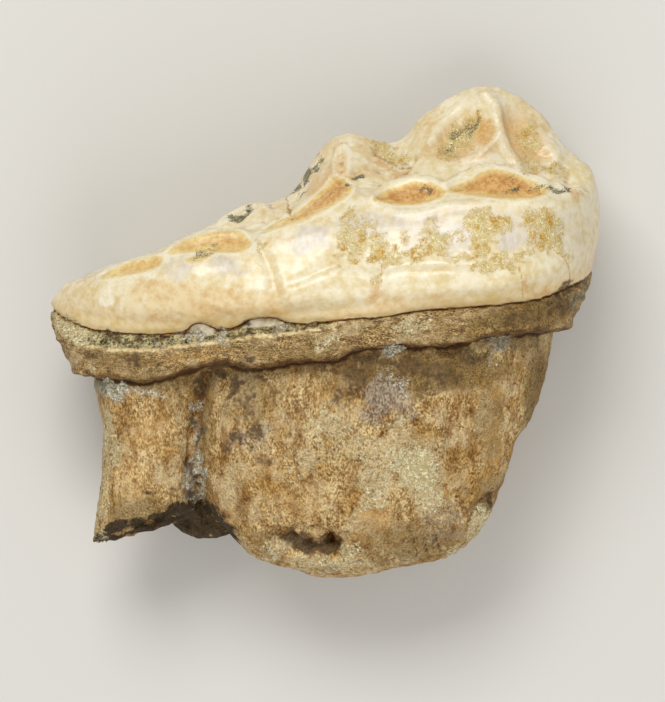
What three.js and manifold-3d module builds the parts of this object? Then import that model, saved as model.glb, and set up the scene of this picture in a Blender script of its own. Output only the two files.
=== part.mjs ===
// Fossil cave bear tooth: a worn upper second molar, lying on its cheek side.
//
// Millimetres, +Z up. X runs along the jaw, from the heel of the crown to its front end. Y runs from
// the roots to the cusps. Z runs from the cheek side, which rests on the table, to the tongue side.
// The tooth grew as one piece, so it is one solid: a crown, a ledge at its neck and four fused roots.

import * as THREE from 'three';
import { mergeVertices } from 'three/addons/utils/BufferGeometryUtils.js';
import Module from 'manifold-3d';

const wasm = await Module();
wasm.setup();

// Driving dimensions. The rails and the root levels below are drawn on a tooth of this size.
const CROWN_LENGTH = 45.6;
const HEEL_X = -23.3;
const STATIONS = 54;
const POINTS_PER_RAIL = 3;
const ROOT_SIDES = 28;
const RINGS_PER_LEVEL = 2;
const MERGE_DISTANCE = 1e-4;
const CUT_REACH = 60;
const TABLE_Z = 0.35;

// The two ends of the crown, where every rail meets.
const HEEL_END = new THREE.Vector3(HEEL_X, 3.6, 11);
const FRONT_END = new THREE.Vector3(HEEL_X + CROWN_LENGTH, 11.5, 10);

// Rails run along the crown, heel to front, in their order around it. Each holds [x, y, z] points
// where the rail bends.
const RAILS = {
  // Tongue side: the ledge at the neck, the enamel's lower edge and the swelling above it.
  ledgeFoot: [
    [-22.7, 1.7, 12.5], [-22, -0.1, 13.2], [-21, -1.8, 14], [-19.5, -2.3, 15], [-17.3, -2.4, 16],
    [-14, -2.4, 17.2],
    [-9.9, -1.5, 18], [-6.3, -1.3, 18.5], [-2.6, -1.1, 18.8], [1.4, -0.2, 19], [5.4, 0.4, 19.1],
    [11.1, 0.5, 19], [15.2, 1.4, 18.3], [18.2, 1.6, 16.5], [19.9, 3.2, 14.5], [21.2, 6.5, 12.5],
  ],
  ledgeHead: [
    [-22.9, 2.4, 12.8], [-22, 1.1, 14.8], [-18.9, 0.3, 16.8], [-14.8, 0.1, 18.3],
    [-9.9, 0.5, 19.2], [-5.4, 1, 19.7], [-1, 1.9, 20], [3.8, 2.5, 20.1], [9.4, 3.1, 20.1],
    [15.1, 3.5, 19.3], [18.3, 4.1, 17.5], [20.3, 5.4, 15], [21.4, 7.3, 12.8],
  ],
  enamelEdge: [
    [-22.9, 3.2, 12.5], [-21.1, 2.5, 14.7], [-18.1, 1.6, 16.8], [-13.9, 1.4, 18.1],
    [-9.5, 1.6, 18.8], [-5, 2.3, 19.3], [-1, 2.5, 19.7], [3.8, 2.8, 20], [9.4, 3.4, 20],
    [15.1, 4, 19.3], [18.5, 4.9, 17.4], [20.4, 6.1, 15], [21.6, 7.9, 12.6],
  ],
  belly: [
    [-22.6, 4, 13.2], [-20.6, 3.7, 16], [-17.2, 3.2, 18.4], [-13.1, 3.1, 20], [-9.4, 3.4, 20.8],
    [-5.8, 3.8, 21.2], [-1, 4.4, 21.6], [3.8, 4.8, 21.5], [8.6, 5, 21.8], [13.4, 5.4, 21.6],
    [17.1, 6.2, 20.2], [19.7, 7.2, 17.4], [21.3, 8.9, 13.8],
  ],
  crease: [
    [-22.4, 4.5, 13.2], [-20.2, 4.7, 16.2], [-17.2, 4.6, 18.6], [-13.1, 5.1, 20.3],
    [-9.4, 5.5, 21.1], [-5.6, 5.9, 20.8], [-1, 6.8, 21.3], [3, 7.1, 20.9], [8.6, 7.5, 21.2],
    [13.4, 7.8, 21], [17.1, 8.3, 19.6], [19.7, 9, 16.8], [21.3, 10.1, 13.4],
  ],
  wall: [
    [-22.1, 5.1, 13.4], [-19.8, 5.3, 16.2], [-16.4, 5.6, 18.8], [-13.1, 6.4, 20.2],
    [-9.4, 7.1, 20.7], [-5.8, 7.6, 20.2], [-1, 9.1, 20.9], [3, 9.6, 20.2], [8.6, 9.5, 20.7],
    [13.4, 9.9, 20.8], [17.1, 10.2, 19.4], [19.9, 10.8, 16.4], [21.4, 11.4, 13.2],
  ],
  // The worn cusps of the tongue side: an outer enamel edge, the hollow that wear left, an inner edge.
  crestOuter: [
    [-21.8, 5.4, 13.2], [-19.6, 5.7, 15.6], [-17.6, 6.2, 17.2], [-14.8, 6.4, 18.6],
    [-12.3, 7.3, 19.4], [-9.5, 7.6, 19.7], [-6.5, 8.7, 19.4], [-4.2, 9.8, 19.7], [-0.2, 11, 19.6],
    [1.9, 12.6, 18.4], [3.2, 12.1, 18.6], [5.8, 11.2, 19.5], [7.8, 11.3, 19.8], [10.3, 11.8, 19.8],
    [15.1, 12.2, 19.4], [18.4, 12.5, 17.8], [20.6, 13.2, 15.2], [21.7, 12.9, 12.8],
  ],
  wornHollow: [
    [-21.6, 5.5, 12.8], [-19.5, 5.9, 14.8], [-17.5, 6.5, 16.2], [-14.9, 6.6, 17.1],
    [-12.4, 7.5, 17.8], [-9.5, 8.3, 18], [-7.5, 8.8, 17.9], [-6.1, 9.3, 18.3], [-4.2, 10, 18.6],
    [-0.5, 11.6, 18.3], [1.5, 13, 17.5], [3.3, 12.4, 17.3], [5.2, 12, 17.6], [7.1, 12.2, 17.8],
    [8.8, 12.7, 18.4], [10.6, 12.6, 17.7], [12.8, 12.9, 17.4], [15.7, 12.8, 17.1],
    [18.2, 12.9, 16.3], [20.4, 13.3, 14.5], [21.5, 13.3, 12.6],
  ],
  crestInner: [
    [-21.5, 5.7, 12.4], [-19.5, 6.1, 14.2], [-17.4, 7.1, 15.5], [-14.9, 7.6, 16.2],
    [-12.4, 8.7, 16.8], [-9.5, 9.8, 17], [-7.5, 10, 16.8], [-6.1, 9.5, 16.8], [-4.3, 10.5, 17.6],
    [-2.2, 11.5, 17.6], [-0.6, 12.6, 17.3], [1, 13.8, 16.6], [3.1, 13.1, 16.4], [5.2, 13.6, 16.6],
    [7.1, 14.1, 16.6], [8.8, 13.6, 16.6], [10.6, 14.5, 16.4], [12.8, 15, 16.2],
    [15.7, 14.3, 15.8], [19.6, 13.4, 14.2], [21.4, 13.7, 12.2],
  ],
  // The valley between the two rows of cusps, and the cheek-side cusps.
  valley: [
    [-21.4, 5.6, 11], [-18.4, 6.5, 11.6], [-15.1, 7.2, 12], [-10.9, 8.8, 12.2], [-7.6, 9.3, 12.4],
    [-5.8, 9.3, 12.6], [-3.5, 10.3, 12.8], [-1, 11.6, 13], [1.4, 12.8, 13.2], [3.3, 12.8, 13.2],
    [5.7, 13.3, 13.2], [9.7, 13.9, 13], [12.6, 14.3, 12.8], [16.3, 13.6, 12.4],
    [19.7, 13.3, 11.6], [21.5, 13.7, 10.8],
  ],
  cuspFace: [
    [-21.3, 5.8, 9.8], [-18.4, 7, 9], [-15.3, 7.9, 8.6], [-11.1, 9.6, 8.6], [-8.6, 10.4, 8.8],
    [-6.5, 11.3, 8.9], [-4, 11.9, 9.2], [-1.9, 13.2, 9.6], [0.2, 16, 9.8], [1.6, 16.8, 10],
    [3.9, 16.1, 9], [5.8, 15.9, 8.6], [8, 17.9, 9.6], [10.2, 18.6, 9], [13, 19.9, 10.2],
    [15.4, 18.8, 9], [17.6, 17.5, 9.4], [19.6, 16, 9.2], [21.5, 14.7, 9.6],
  ],
  cuspCrest: [
    [-21.3, 5.9, 8.6], [-18.5, 7.1, 7], [-15.9, 7.8, 6.4], [-13.8, 8.9, 6.2], [-11.1, 10.2, 6.1],
    [-8.6, 11.5, 6], [-6.5, 12.5, 6], [-5.4, 12.2, 6], [-4.8, 12.6, 6], [-3.9, 12.7, 6],
    [-3, 13.9, 6.1], [-1.7, 16.1, 6.3], [-0.2, 17.8, 6.5], [1.5, 18.4, 6.6], [2.8, 18.1, 6.4],
    [4.2, 17.5, 6.2], [5.2, 17.5, 6.2], [6, 17.9, 6.2], [7, 19.5, 6.4], [8.3, 20.4, 6.6],
    [10.1, 21.6, 6.9], [11.8, 22.3, 7], [13.2, 22.4, 7], [14.4, 22.1, 6.9], [16.1, 21.2, 6.8],
    [17.9, 19.7, 6.7], [19, 17.9, 6.8], [19.7, 16.9, 7], [21.2, 15.8, 7.6], [21.9, 14.9, 8.6],
  ],
  // Cheek side, down to the neck.
  wallCheek: [
    [-21.6, 5.3, 7], [-18.7, 6.2, 4.2], [-13.8, 7.6, 2.8], [-8.7, 9.4, 2.6], [-3.6, 10.6, 2.5],
    [1.5, 14.7, 2.9], [5.2, 13.6, 2.3], [9.2, 16.4, 2.6], [13, 18.3, 3], [16.8, 16.6, 2.8],
    [20.2, 13.6, 3.8], [21.8, 12.4, 6.4],
  ],
  bellyCheek: [
    [-21.8, 4.3, 6.4], [-18.8, 4.3, 2.6], [-14.6, 5.1, 0.5], [-8.8, 5.8, 0.1], [-3.7, 6.4, 0.1],
    [1.5, 7.1, 0], [5.3, 7.3, 0.4], [9.2, 8, 0], [14.4, 8.9, 0], [18.2, 9.2, 0.8],
    [20.6, 9.4, 3.2], [21.9, 10, 6.4],
  ],
  enamelEdgeCheek: [
    [-22.1, 2.9, 6.8], [-19.7, 2.2, 3.8], [-14.7, 2.5, 1.8], [-8.8, 3.2, 1.2], [-2.8, 3.7, 1],
    [3.2, 4.4, 1.2], [9.2, 4.9, 0.8], [15.2, 5.6, 0.9], [18.6, 6.1, 2], [20.8, 7.2, 4.6],
    [21.9, 8.6, 7.4],
  ],
  ledgeFootCheek: [
    [-22.6, 1.8, 9], [-21.6, -0.1, 8], [-20.1, -0.8, 5.5], [-15.5, -0.6, 3.6], [-10.4, 0.1, 2.8],
    [-2.8, 0.8, 2.4], [3.2, 1.4, 2.6], [9.2, 2, 2.2], [15.1, 2.8, 2.4], [19, 3.3, 4.2],
    [20.4, 4.1, 6.5], [21.6, 6.9, 8.5],
  ],
  underside: [
    [-22.5, 1.7, 10.5], [-21.4, -0.2, 10.8], [-20, -1.2, 10.5], [-15.2, -1.2, 10.5],
    [-2.7, -0.1, 10.8], [8.9, 1.1, 10.8], [18.6, 2.2, 10.4], [20.3, 3.7, 10.2], [21.5, 6.7, 10],
  ],
};

// Roots as levels down the root: height y, the span in x, the span in z. Each closes at its tip.
const ROOTS = {
  tongue: {
    squareness: 2.5,
    levels: [
      { y: 2.5, x: [-11, 17.4], z: [8, 18.6] },
      { y: -1.6, x: [-10.9, 17], z: [7.2, 18.4] },
      { y: -4, x: [-11.1, 16.6], z: [6.8, 18.4] },
      { y: -8.2, x: [-11.3, 15], z: [6.4, 17.9] },
      { y: -12.3, x: [-10.7, 13.8], z: [6, 16.9] },
      { y: -15.6, x: [-8.3, 11.6], z: [6, 15.4] },
      { y: -17.3, x: [-5.7, 9.4], z: [6.4, 14] },
      { y: -18.1, x: [-3.7, 6.2], z: [7, 13] },
      { y: -18.8, x: [-1.4, 1.6], z: [8, 11.6] },
    ],
    tip: [0.1, -18.95, 9.8],
  },
  heel: {
    squareness: 2.2,
    levels: [
      { y: 1.5, x: [-20.6, -8.6], z: [4, 17.4] },
      { y: -2.2, x: [-20, -9.2], z: [4.4, 16.9] },
      { y: -4, x: [-19.5, -9.9], z: [4.8, 16.4] },
      { y: -6.5, x: [-19.1, -10.2], z: [5, 16] },
      { y: -9.8, x: [-19.2, -10.5], z: [5.2, 15.6] },
      { y: -13.1, x: [-19.7, -11], z: [5.4, 15] },
      { y: -18, x: [-20.2, -11.5], z: [5.6, 14.2] },
    ],
    tip: [-15.8, -18.4, 10],
  },
  frontCheek: {
    squareness: 2.2,
    levels: [
      { y: 6, x: [3.8, 19.2], z: [0.9, 10.5] },
      { y: 0.3, x: [4, 18.4], z: [0.7, 10.4] },
      { y: -2.9, x: [4.4, 17.8], z: [0.4, 10.2] },
      { y: -6, x: [5, 16.6], z: [0.1, 9.8] },
      { y: -9, x: [5.7, 14.7], z: [0, 9] },
      { y: -12, x: [6.4, 12.7], z: [0.4, 7.8] },
      { y: -14, x: [7.6, 11.3], z: [1.5, 6.4] },
    ],
    tip: [9.6, -15.1, 3.8],
  },
  backCheek: {
    squareness: 2.2,
    levels: [
      { y: 6, x: [-13, 5], z: [0.9, 10.5] },
      { y: 0, x: [-12.8, 4.4], z: [0.7, 10.4] },
      { y: -4, x: [-13, 2.8], z: [0.3, 10] },
      { y: -8, x: [-13.5, 0.2], z: [0, 9.6] },
      { y: -12, x: [-13.9, -3.8], z: [0.1, 8.8] },
      { y: -14.5, x: [-13.6, -6.6], z: [1, 7.8] },
      { y: -15.6, x: [-12.6, -8.4], z: [2.2, 6.6] },
    ],
    tip: [-10.6, -16.1, 4.6],
  },
  trunk: {
    squareness: 3,
    levels: [
      { y: 5, x: [-19, 17], z: [1.5, 17] },
      { y: -1, x: [-18, 16], z: [1.8, 15.6] },
      { y: -5, x: [-17, 15], z: [3.2, 15] },
      { y: -9, x: [-15.5, 13.4], z: [4.9, 13.6] },
      { y: -12, x: [-14, 11], z: [5.8, 12] },
    ],
    tip: [-1.5, -13.6, 9],
  },
};

// Hollows and breaks, as ellipsoids that are cut away: centre and half sizes.
const HOLLOWS = {
  heelRootCanal: { at: [-14.9, -15.2, 10.8], half: [2.3, 3.4, 2.6] },
  heelRootCanalSide: { at: [-16.9, -15.6, 9.3], half: [1.7, 2.4, 1.5] },
  heelRootChip: { at: [-16.6, -15.9, 13.4], half: [2.7, 1.3, 1.6] },
  tongueRootPitLarge: { at: [0, -15.6, 15.7], half: [1.9, 0.9, 1.3] },
  tongueRootPitLong: { at: [-2.9, -15.5, 15.6], half: [2.3, 0.7, 1.1] },
};
// The heel root's broken end: a point on the break, and the direction that the break faces.
const HEEL_BREAK = { at: [-17.5, -15.2, 12], faces: [0.3, -1, 0.14] };

// A smooth value through sorted [position, value] pairs that never overshoots them.
function valueThrough(pairs, position) {
  const last = pairs.length - 1;
  let i = 0;
  while (i < last - 1 && pairs[i + 1][0] < position) i += 1;
  const slope = (k) => (pairs[k + 1][1] - pairs[k][1]) / (pairs[k + 1][0] - pairs[k][0]);
  const tangent = (k) => {
    if (k === 0) return slope(0);
    if (k === last) return slope(last - 1);
    const [before, after] = [slope(k - 1), slope(k)];
    return before * after <= 0 ? 0 : (2 * before * after) / (before + after);
  };
  const width = pairs[i + 1][0] - pairs[i][0];
  const t = THREE.MathUtils.clamp((position - pairs[i][0]) / width, 0, 1);
  return (
    pairs[i][1] * (1 + 2 * t) * (1 - t) ** 2 +
    pairs[i + 1][1] * (3 - 2 * t) * t ** 2 +
    width * (tangent(i) * t * (1 - t) ** 2 - tangent(i + 1) * t ** 2 * (1 - t))
  );
}

// Where x lies between the crown's ends, as an angle that slows down at both, so the ends are round.
function angleOf(x) {
  const share = (x - HEEL_X) / CROWN_LENGTH;
  return Math.asin(THREE.MathUtils.clamp(2 * share - 1, -1, 1));
}

// A closed skin over rings of points, each ring with as many points, that ends in two poles.
function skin(rings, firstPole, lastPole) {
  const around = rings[0].length;
  const points = [firstPole, ...rings.flat(), lastPole];
  const index = [];
  const id = (ring, k) => 1 + ring * around + (k % around);
  for (let k = 0; k < around; k += 1) {
    index.push(0, id(0, k), id(0, k + 1));
    index.push(id(rings.length - 1, k + 1), id(rings.length - 1, k), points.length - 1);
    for (let ring = 0; ring < rings.length - 1; ring += 1) {
      index.push(id(ring, k), id(ring + 1, k), id(ring, k + 1));
      index.push(id(ring, k + 1), id(ring + 1, k), id(ring + 1, k + 1));
    }
  }
  return new THREE.BufferGeometry().setFromPoints(points).setIndex(index);
}

// The crown and the ledge at its neck: a skin over cross-sections through all the rails.
function crown() {
  const rails = Object.values(RAILS).map((rail) => {
    const all = [HEEL_END.toArray(), ...rail, FRONT_END.toArray()];
    const pairs = (axis) => all.map((point) => [angleOf(point[0]), point[axis]]);
    return { y: pairs(1), z: pairs(2) };
  });
  const rings = [];
  for (let station = 1; station < STATIONS; station += 1) {
    const angle = Math.PI * (station / STATIONS - 0.5);
    const x = HEEL_X + (CROWN_LENGTH * (1 + Math.sin(angle))) / 2;
    const section = rails.map(
      (rail) => new THREE.Vector3(x, valueThrough(rail.y, angle), valueThrough(rail.z, angle)),
    );
    const outline = new THREE.CatmullRomCurve3(section, true, 'centripetal');
    rings.push(outline.getPoints(rails.length * POINTS_PER_RAIL).slice(0, -1));
  }
  return skin(rings, HEEL_END, FRONT_END);
}

// One root: a skin over rounded-box sections, from its top level, inside the crown, to its tip.
function root({ squareness, levels, tip }) {
  const bend = (value) => Math.sign(value) * Math.abs(value) ** (2 / squareness);
  const downward = (pick) => levels.map((level) => [-level.y, pick(level)]);
  const spans = ['x', 'z'].map((axis) =>
    [0, 1].map((end) => downward((level) => level[axis][end])),
  );
  const rings = [];
  for (let step = 0; step <= (levels.length - 1) * RINGS_PER_LEVEL; step += 1) {
    const upper = levels[Math.floor(step / RINGS_PER_LEVEL)];
    const lower = levels[Math.ceil(step / RINGS_PER_LEVEL)];
    const y = (upper.y + lower.y) / 2;
    const [[left, right], [low, high]] = spans.map((ends) => ends.map((end) => valueThrough(end, -y)));
    const ring = [];
    for (let k = 0; k < ROOT_SIDES; k += 1) {
      const angle = (2 * Math.PI * k) / ROOT_SIDES;
      ring.push(
        new THREE.Vector3(
          (left + right) / 2 + ((right - left) / 2) * bend(Math.sin(angle)),
          y,
          (low + high) / 2 + ((high - low) / 2) * bend(Math.cos(angle)),
        ),
      );
    }
    rings.push(ring);
  }
  const top = rings[0].reduce((sum, point) => sum.add(point), new THREE.Vector3());
  return skin(rings, top.divideScalar(ROOT_SIDES), new THREE.Vector3(...tip));
}

// A closed geometry as a solid that can be joined and cut.
function solid(geometry) {
  const plain = new THREE.BufferGeometry()
    .setAttribute('position', geometry.getAttribute('position'))
    .setIndex(geometry.getIndex());
  const merged = mergeVertices(plain, MERGE_DISTANCE);
  return new wasm.Manifold(
    new wasm.Mesh({
      numProp: 3,
      vertProperties: new Float32Array(merged.getAttribute('position').array),
      triVerts: new Uint32Array(merged.getIndex().array),
    }),
  );
}

// A solid back as a geometry with one shared vertex per corner.
function geometryOf(body) {
  const mesh = body.getMesh();
  return new THREE.BufferGeometry()
    .setAttribute('position', new THREE.BufferAttribute(mesh.vertProperties, 3))
    .setIndex(new THREE.BufferAttribute(mesh.triVerts, 1));
}

// An ellipsoid to cut away.
function hollow({ at, half }) {
  return solid(new THREE.SphereGeometry(1, 20, 14).scale(...half).translate(...at));
}

// Everything on the far side of a plane, as a large box that touches it.
function beyond(at, faces) {
  const out = new THREE.Vector3(...faces).normalize();
  const turn = new THREE.Quaternion().setFromUnitVectors(new THREE.Vector3(0, 0, 1), out);
  const centre = new THREE.Vector3(...at).addScaledVector(out, CUT_REACH / 2);
  const box = new THREE.BoxGeometry(CUT_REACH, CUT_REACH, CUT_REACH);
  return solid(box.applyQuaternion(turn).translate(...centre.toArray()));
}

// A solid with several of the hollows cut out of it.
function hollowed(body, names) {
  return names.reduce((rest, name) => rest.subtract(hollow(HOLLOWS[name])), body);
}

// The whole tooth, trimmed to where it touches the table, with its origin under its middle.
function tooth() {
  const wholeHeelRoot = solid(root(ROOTS.heel)).subtract(beyond(HEEL_BREAK.at, HEEL_BREAK.faces));
  const heelHollows = ['heelRootCanal', 'heelRootCanalSide', 'heelRootChip'];
  let body = solid(crown()).add(hollowed(wholeHeelRoot, heelHollows));
  for (const name of ['tongue', 'frontCheek', 'backCheek', 'trunk']) {
    body = body.add(solid(root(ROOTS[name])));
  }
  body = hollowed(body, ['tongueRootPitLarge', 'tongueRootPitLong']);
  body = body.subtract(beyond([0, 0, TABLE_Z], [0, 0, -1]));
  const geometry = geometryOf(body);
  geometry.computeBoundingBox();
  const { min, max } = geometry.boundingBox;
  return geometry.translate(-(min.x + max.x) / 2, -(min.y + max.y) / 2, -min.z);
}

const fossil = new THREE.MeshStandardMaterial({ color: 0xc9ad7f, roughness: 0.6, metalness: 0 });
const mesh = new THREE.Mesh(tooth(), fossil);
mesh.name = 'tooth';

const group = new THREE.Group();
group.add(mesh);
export default group;
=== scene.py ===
"""Fossil cave bear tooth: the looks of a worn upper molar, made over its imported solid.

The solid is copied, remeshed and sculpted, and the marks of its surface (enamel, worn dentine, crust,
stains, cracks) are stored on the mesh, where one material reads them. Shapes are worked in millimetres,
in the part's own frame: X from the crown's heel to its front, Y from the roots to the cusps, Z up.
"""

import logging
from dataclasses import dataclass
from enum import Enum

import bmesh
import bpy
import numpy as np
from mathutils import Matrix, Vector, noise


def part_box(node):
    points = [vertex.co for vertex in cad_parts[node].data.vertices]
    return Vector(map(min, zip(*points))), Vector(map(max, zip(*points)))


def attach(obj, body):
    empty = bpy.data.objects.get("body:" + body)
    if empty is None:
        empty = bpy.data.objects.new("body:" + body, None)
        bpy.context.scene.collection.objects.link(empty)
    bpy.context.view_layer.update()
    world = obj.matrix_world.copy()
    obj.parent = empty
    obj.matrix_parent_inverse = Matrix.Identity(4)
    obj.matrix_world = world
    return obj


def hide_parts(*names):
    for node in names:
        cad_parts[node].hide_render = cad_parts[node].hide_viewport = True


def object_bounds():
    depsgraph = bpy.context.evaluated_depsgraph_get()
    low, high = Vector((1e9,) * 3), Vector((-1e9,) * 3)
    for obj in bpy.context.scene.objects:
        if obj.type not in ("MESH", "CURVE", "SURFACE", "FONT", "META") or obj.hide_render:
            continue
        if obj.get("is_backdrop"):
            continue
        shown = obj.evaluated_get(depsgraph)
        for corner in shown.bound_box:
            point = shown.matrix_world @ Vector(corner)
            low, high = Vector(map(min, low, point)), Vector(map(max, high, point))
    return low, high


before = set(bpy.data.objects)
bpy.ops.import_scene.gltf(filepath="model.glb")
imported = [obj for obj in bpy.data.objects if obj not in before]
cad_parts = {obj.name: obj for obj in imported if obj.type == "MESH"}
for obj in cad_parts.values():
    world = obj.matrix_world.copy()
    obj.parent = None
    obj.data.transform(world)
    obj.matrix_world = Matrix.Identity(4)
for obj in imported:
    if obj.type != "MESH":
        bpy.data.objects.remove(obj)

LOG = logging.getLogger("tooth")
MM = 0.001
# How far from a drawn line places are measured, in millimetres. No line shapes anything beyond.
FAR = 3.0
# What a mark says, in millimetres, on a side where it isn't measured.
NOWHERE = 5.0
# Between which shares of its half sizes a patch fades in.
PATCH_EDGE, PATCH_FULL = 1.35, 0.55
Points = tuple[tuple[float, float], ...]


class Mark(Enum):
    """What the mesh knows about its surface, point by point, as named attributes."""

    ENAMEL_RISE = "enamel_rise"
    LEDGE_RISE = "ledge_rise"
    WEAR = "wear_depth"
    GAP = "gap"
    CRUST = "crust"
    PALE = "pale_crust"
    GREY = "grey_deposit"
    WHITE_AND_HIGHLIGHT = "white_enamel_and_highlight"
    TAN = "tan_enamel"
    UMBER_AND_SHADE = "umber_and_painted_shade"
    GLASS_AND_REFLECTION = "glassy_enamel_and_reflection"
    CHIP = "enamel_chip"
    FACET = "facet_depth"
    CREST = "ridge_crest"
    LIP = "ledge_lip"
    DARK = "dark_stain"
    BLACK = "black_stain"
    VIOLET = "violet_patch"
    OCHRE = "ochre_wash"
    CRACK = "crack_reach"
    BREAK_AND_SHADE = "broken_end_and_shade"
    DIP_SHADE = "dip_shade"
    SWALE_SHADE = "swale_shade"


# --------------------------------------------------------------------- shapes drawn on the tooth


def ease(low: float, high: float, value: np.ndarray) -> np.ndarray:
    """Goes smoothly from 0 at low to 1 at high."""
    share = np.clip((value - low) / (high - low), 0.0, 1.0)
    return share * share * (3.0 - 2.0 * share)


def hump(value: np.ndarray, width: float) -> np.ndarray:
    """A round hump, 1 where the value is 0 and fading over the width to both sides."""
    return np.exp(-((value / width) ** 2))


def grain(
    points: np.ndarray, size: float, octaves: int = 2, seed: float = 0.0, along: float = 1.0
) -> np.ndarray:
    """Fractal noise over points, from about -1 to 1.

    Args:
        points: places in millimetres, one row each.
        size: the size of the coarsest lumps, in millimetres.
        octaves: how many finer layers of lumps are added.
        seed: moves the pattern, so that two patterns of one size differ.
        along: how much longer than wide the lumps are, along Y.

    Returns:
        One value for each point.
    """
    scaled = points / size + seed
    scaled[:, 1] /= along
    values = (noise.fractal(Vector(place), 1.0, 2.0, octaves) for place in scaled)
    return np.fromiter(values, float, len(points))


@dataclass(frozen=True)
class Line:
    """An open line on the tooth as seen from above, in millimetres."""

    points: Points

    def rounded(self) -> np.ndarray:
        """Cuts the line's corners, twice over.

        Returns:
            The rounded line's points, one row each.
        """
        corners = np.array(self.points)
        for _ in range(2):
            near, far = corners[:-1], corners[1:]
            cut = np.stack((0.75 * near + 0.25 * far, 0.25 * near + 0.75 * far), axis=1)
            corners = np.concatenate((corners[:1], cut.reshape(-1, 2), corners[-1:]))
        return corners

    def away(self, seen: np.ndarray) -> np.ndarray:
        """Measures how far places are from the line.

        Args:
            seen: the places, one row each.

        Returns:
            The distance of each, or FAR where it is more than that.
        """
        path = self.rounded()
        beside = ((seen > path.min(axis=0) - FAR) & (seen < path.max(axis=0) + FAR)).all(axis=1)
        near = seen[beside]
        shortest = np.full(len(near), FAR)
        for start, end in zip(path, path[1:]):
            run = end - start
            share = np.clip((near - start) @ run / (run @ run), 0.0, 1.0)
            shortest = np.minimum(shortest, np.linalg.norm(near - start - share[:, None] * run, axis=1))
        away = np.full(len(seen), FAR)
        away[beside] = shortest
        return away

    def above(self, seen: np.ndarray) -> np.ndarray:
        """How far each place lies above the line, which runs from left to right."""
        xs, ys = self.rounded().T
        return seen[:, 1] - np.interp(seen[:, 0], xs, ys)


@dataclass(frozen=True)
class Outline(Line):
    """A closed outline on the tooth as seen from above, in millimetres."""

    def depth(self, seen: np.ndarray) -> np.ndarray:
        """Measures how far inside the outline places lie.

        Args:
            seen: the places, one row each.

        Returns:
            The distance of each from the outline, less than 0 outside it.
        """
        closed = Line((*self.points, self.points[0]))
        path = closed.rounded()
        within = np.zeros(len(seen), bool)
        for (x0, y0), (x1, y1) in zip(path, path[1:]):
            if y0 == y1:
                continue
            crosses = (seen[:, 1] < max(y0, y1)) & (seen[:, 1] >= min(y0, y1))
            within ^= crosses & (seen[:, 0] < x0 + (seen[:, 1] - y0) * (x1 - x0) / (y1 - y0))
        return np.where(within, 1.0, -1.0) * closed.away(seen)


@dataclass(frozen=True)
class Spot:
    """An oval patch on the tooth as seen from above: centre, half sizes, strength, turn in degrees."""

    x: float
    y: float
    half_x: float
    half_y: float
    strength: float = 1.0
    turn: float = 0.0

    def cover(self, seen: np.ndarray) -> np.ndarray:
        """Works out how strongly the patch shows.

        Args:
            seen: places on the tooth, one row each.

        Returns:
            A value for each place, from 0 to the patch's strength.
        """
        angle = np.radians(self.turn)
        dx, dy = seen[:, 0] - self.x, seen[:, 1] - self.y
        across = (dx * np.cos(angle) + dy * np.sin(angle)) / self.half_x
        up = (dy * np.cos(angle) - dx * np.sin(angle)) / self.half_y
        return self.strength * ease(PATCH_EDGE, PATCH_FULL, np.hypot(across, up))


def spots(*rows: tuple[float, ...]) -> tuple[Spot, ...]:
    """Patches from rows of a Spot's values, in their order."""
    return tuple(Spot(*row) for row in rows)


def covered(seen: np.ndarray, patches: tuple[Spot, ...]) -> np.ndarray:
    """The strongest of several patches at each seen place."""
    return np.max([patch.cover(seen) for patch in patches], axis=0)


@dataclass(frozen=True)
class Overhead:
    """The camera straight above the tooth: its place, and how much it sees at its own level."""

    x: float = 0.5
    y: float = -1.82
    height: float = 312.0
    level: float = 12.0
    frame_height: float = 58.02
    sensor_width: float = 36.0
    nearest: float = 0.01
    furthest: float = 5.0

    def seen(self, points: np.ndarray) -> np.ndarray:
        """Projects points of the tooth on the plane at the camera's level.

        Args:
            points: places in millimetres, one row each.

        Returns:
            Where each appears from above, in millimetres.
        """
        centre = np.array((self.x, self.y))
        scale = (self.height - self.level) / (self.height - points[:, 2:3])
        return centre + (points[:, :2] - centre) * scale

    def build(self) -> bpy.types.Object:
        """Makes the camera and sets it as the scene's own.

        Returns:
            The camera.
        """
        data = bpy.data.cameras.new("overhead")
        data.sensor_width = self.sensor_width
        data.lens = data.sensor_width * (self.height - self.level) / self.frame_height
        data.clip_start, data.clip_end = self.nearest, self.furthest
        camera = bpy.data.objects.new("overhead", data)
        camera.location = np.array((self.x, self.y, self.height)) * MM
        bpy.context.scene.collection.objects.link(camera)
        bpy.context.scene.camera = camera
        return camera


# --------------------------------------------------------------------- the mesh being sculpted


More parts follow.
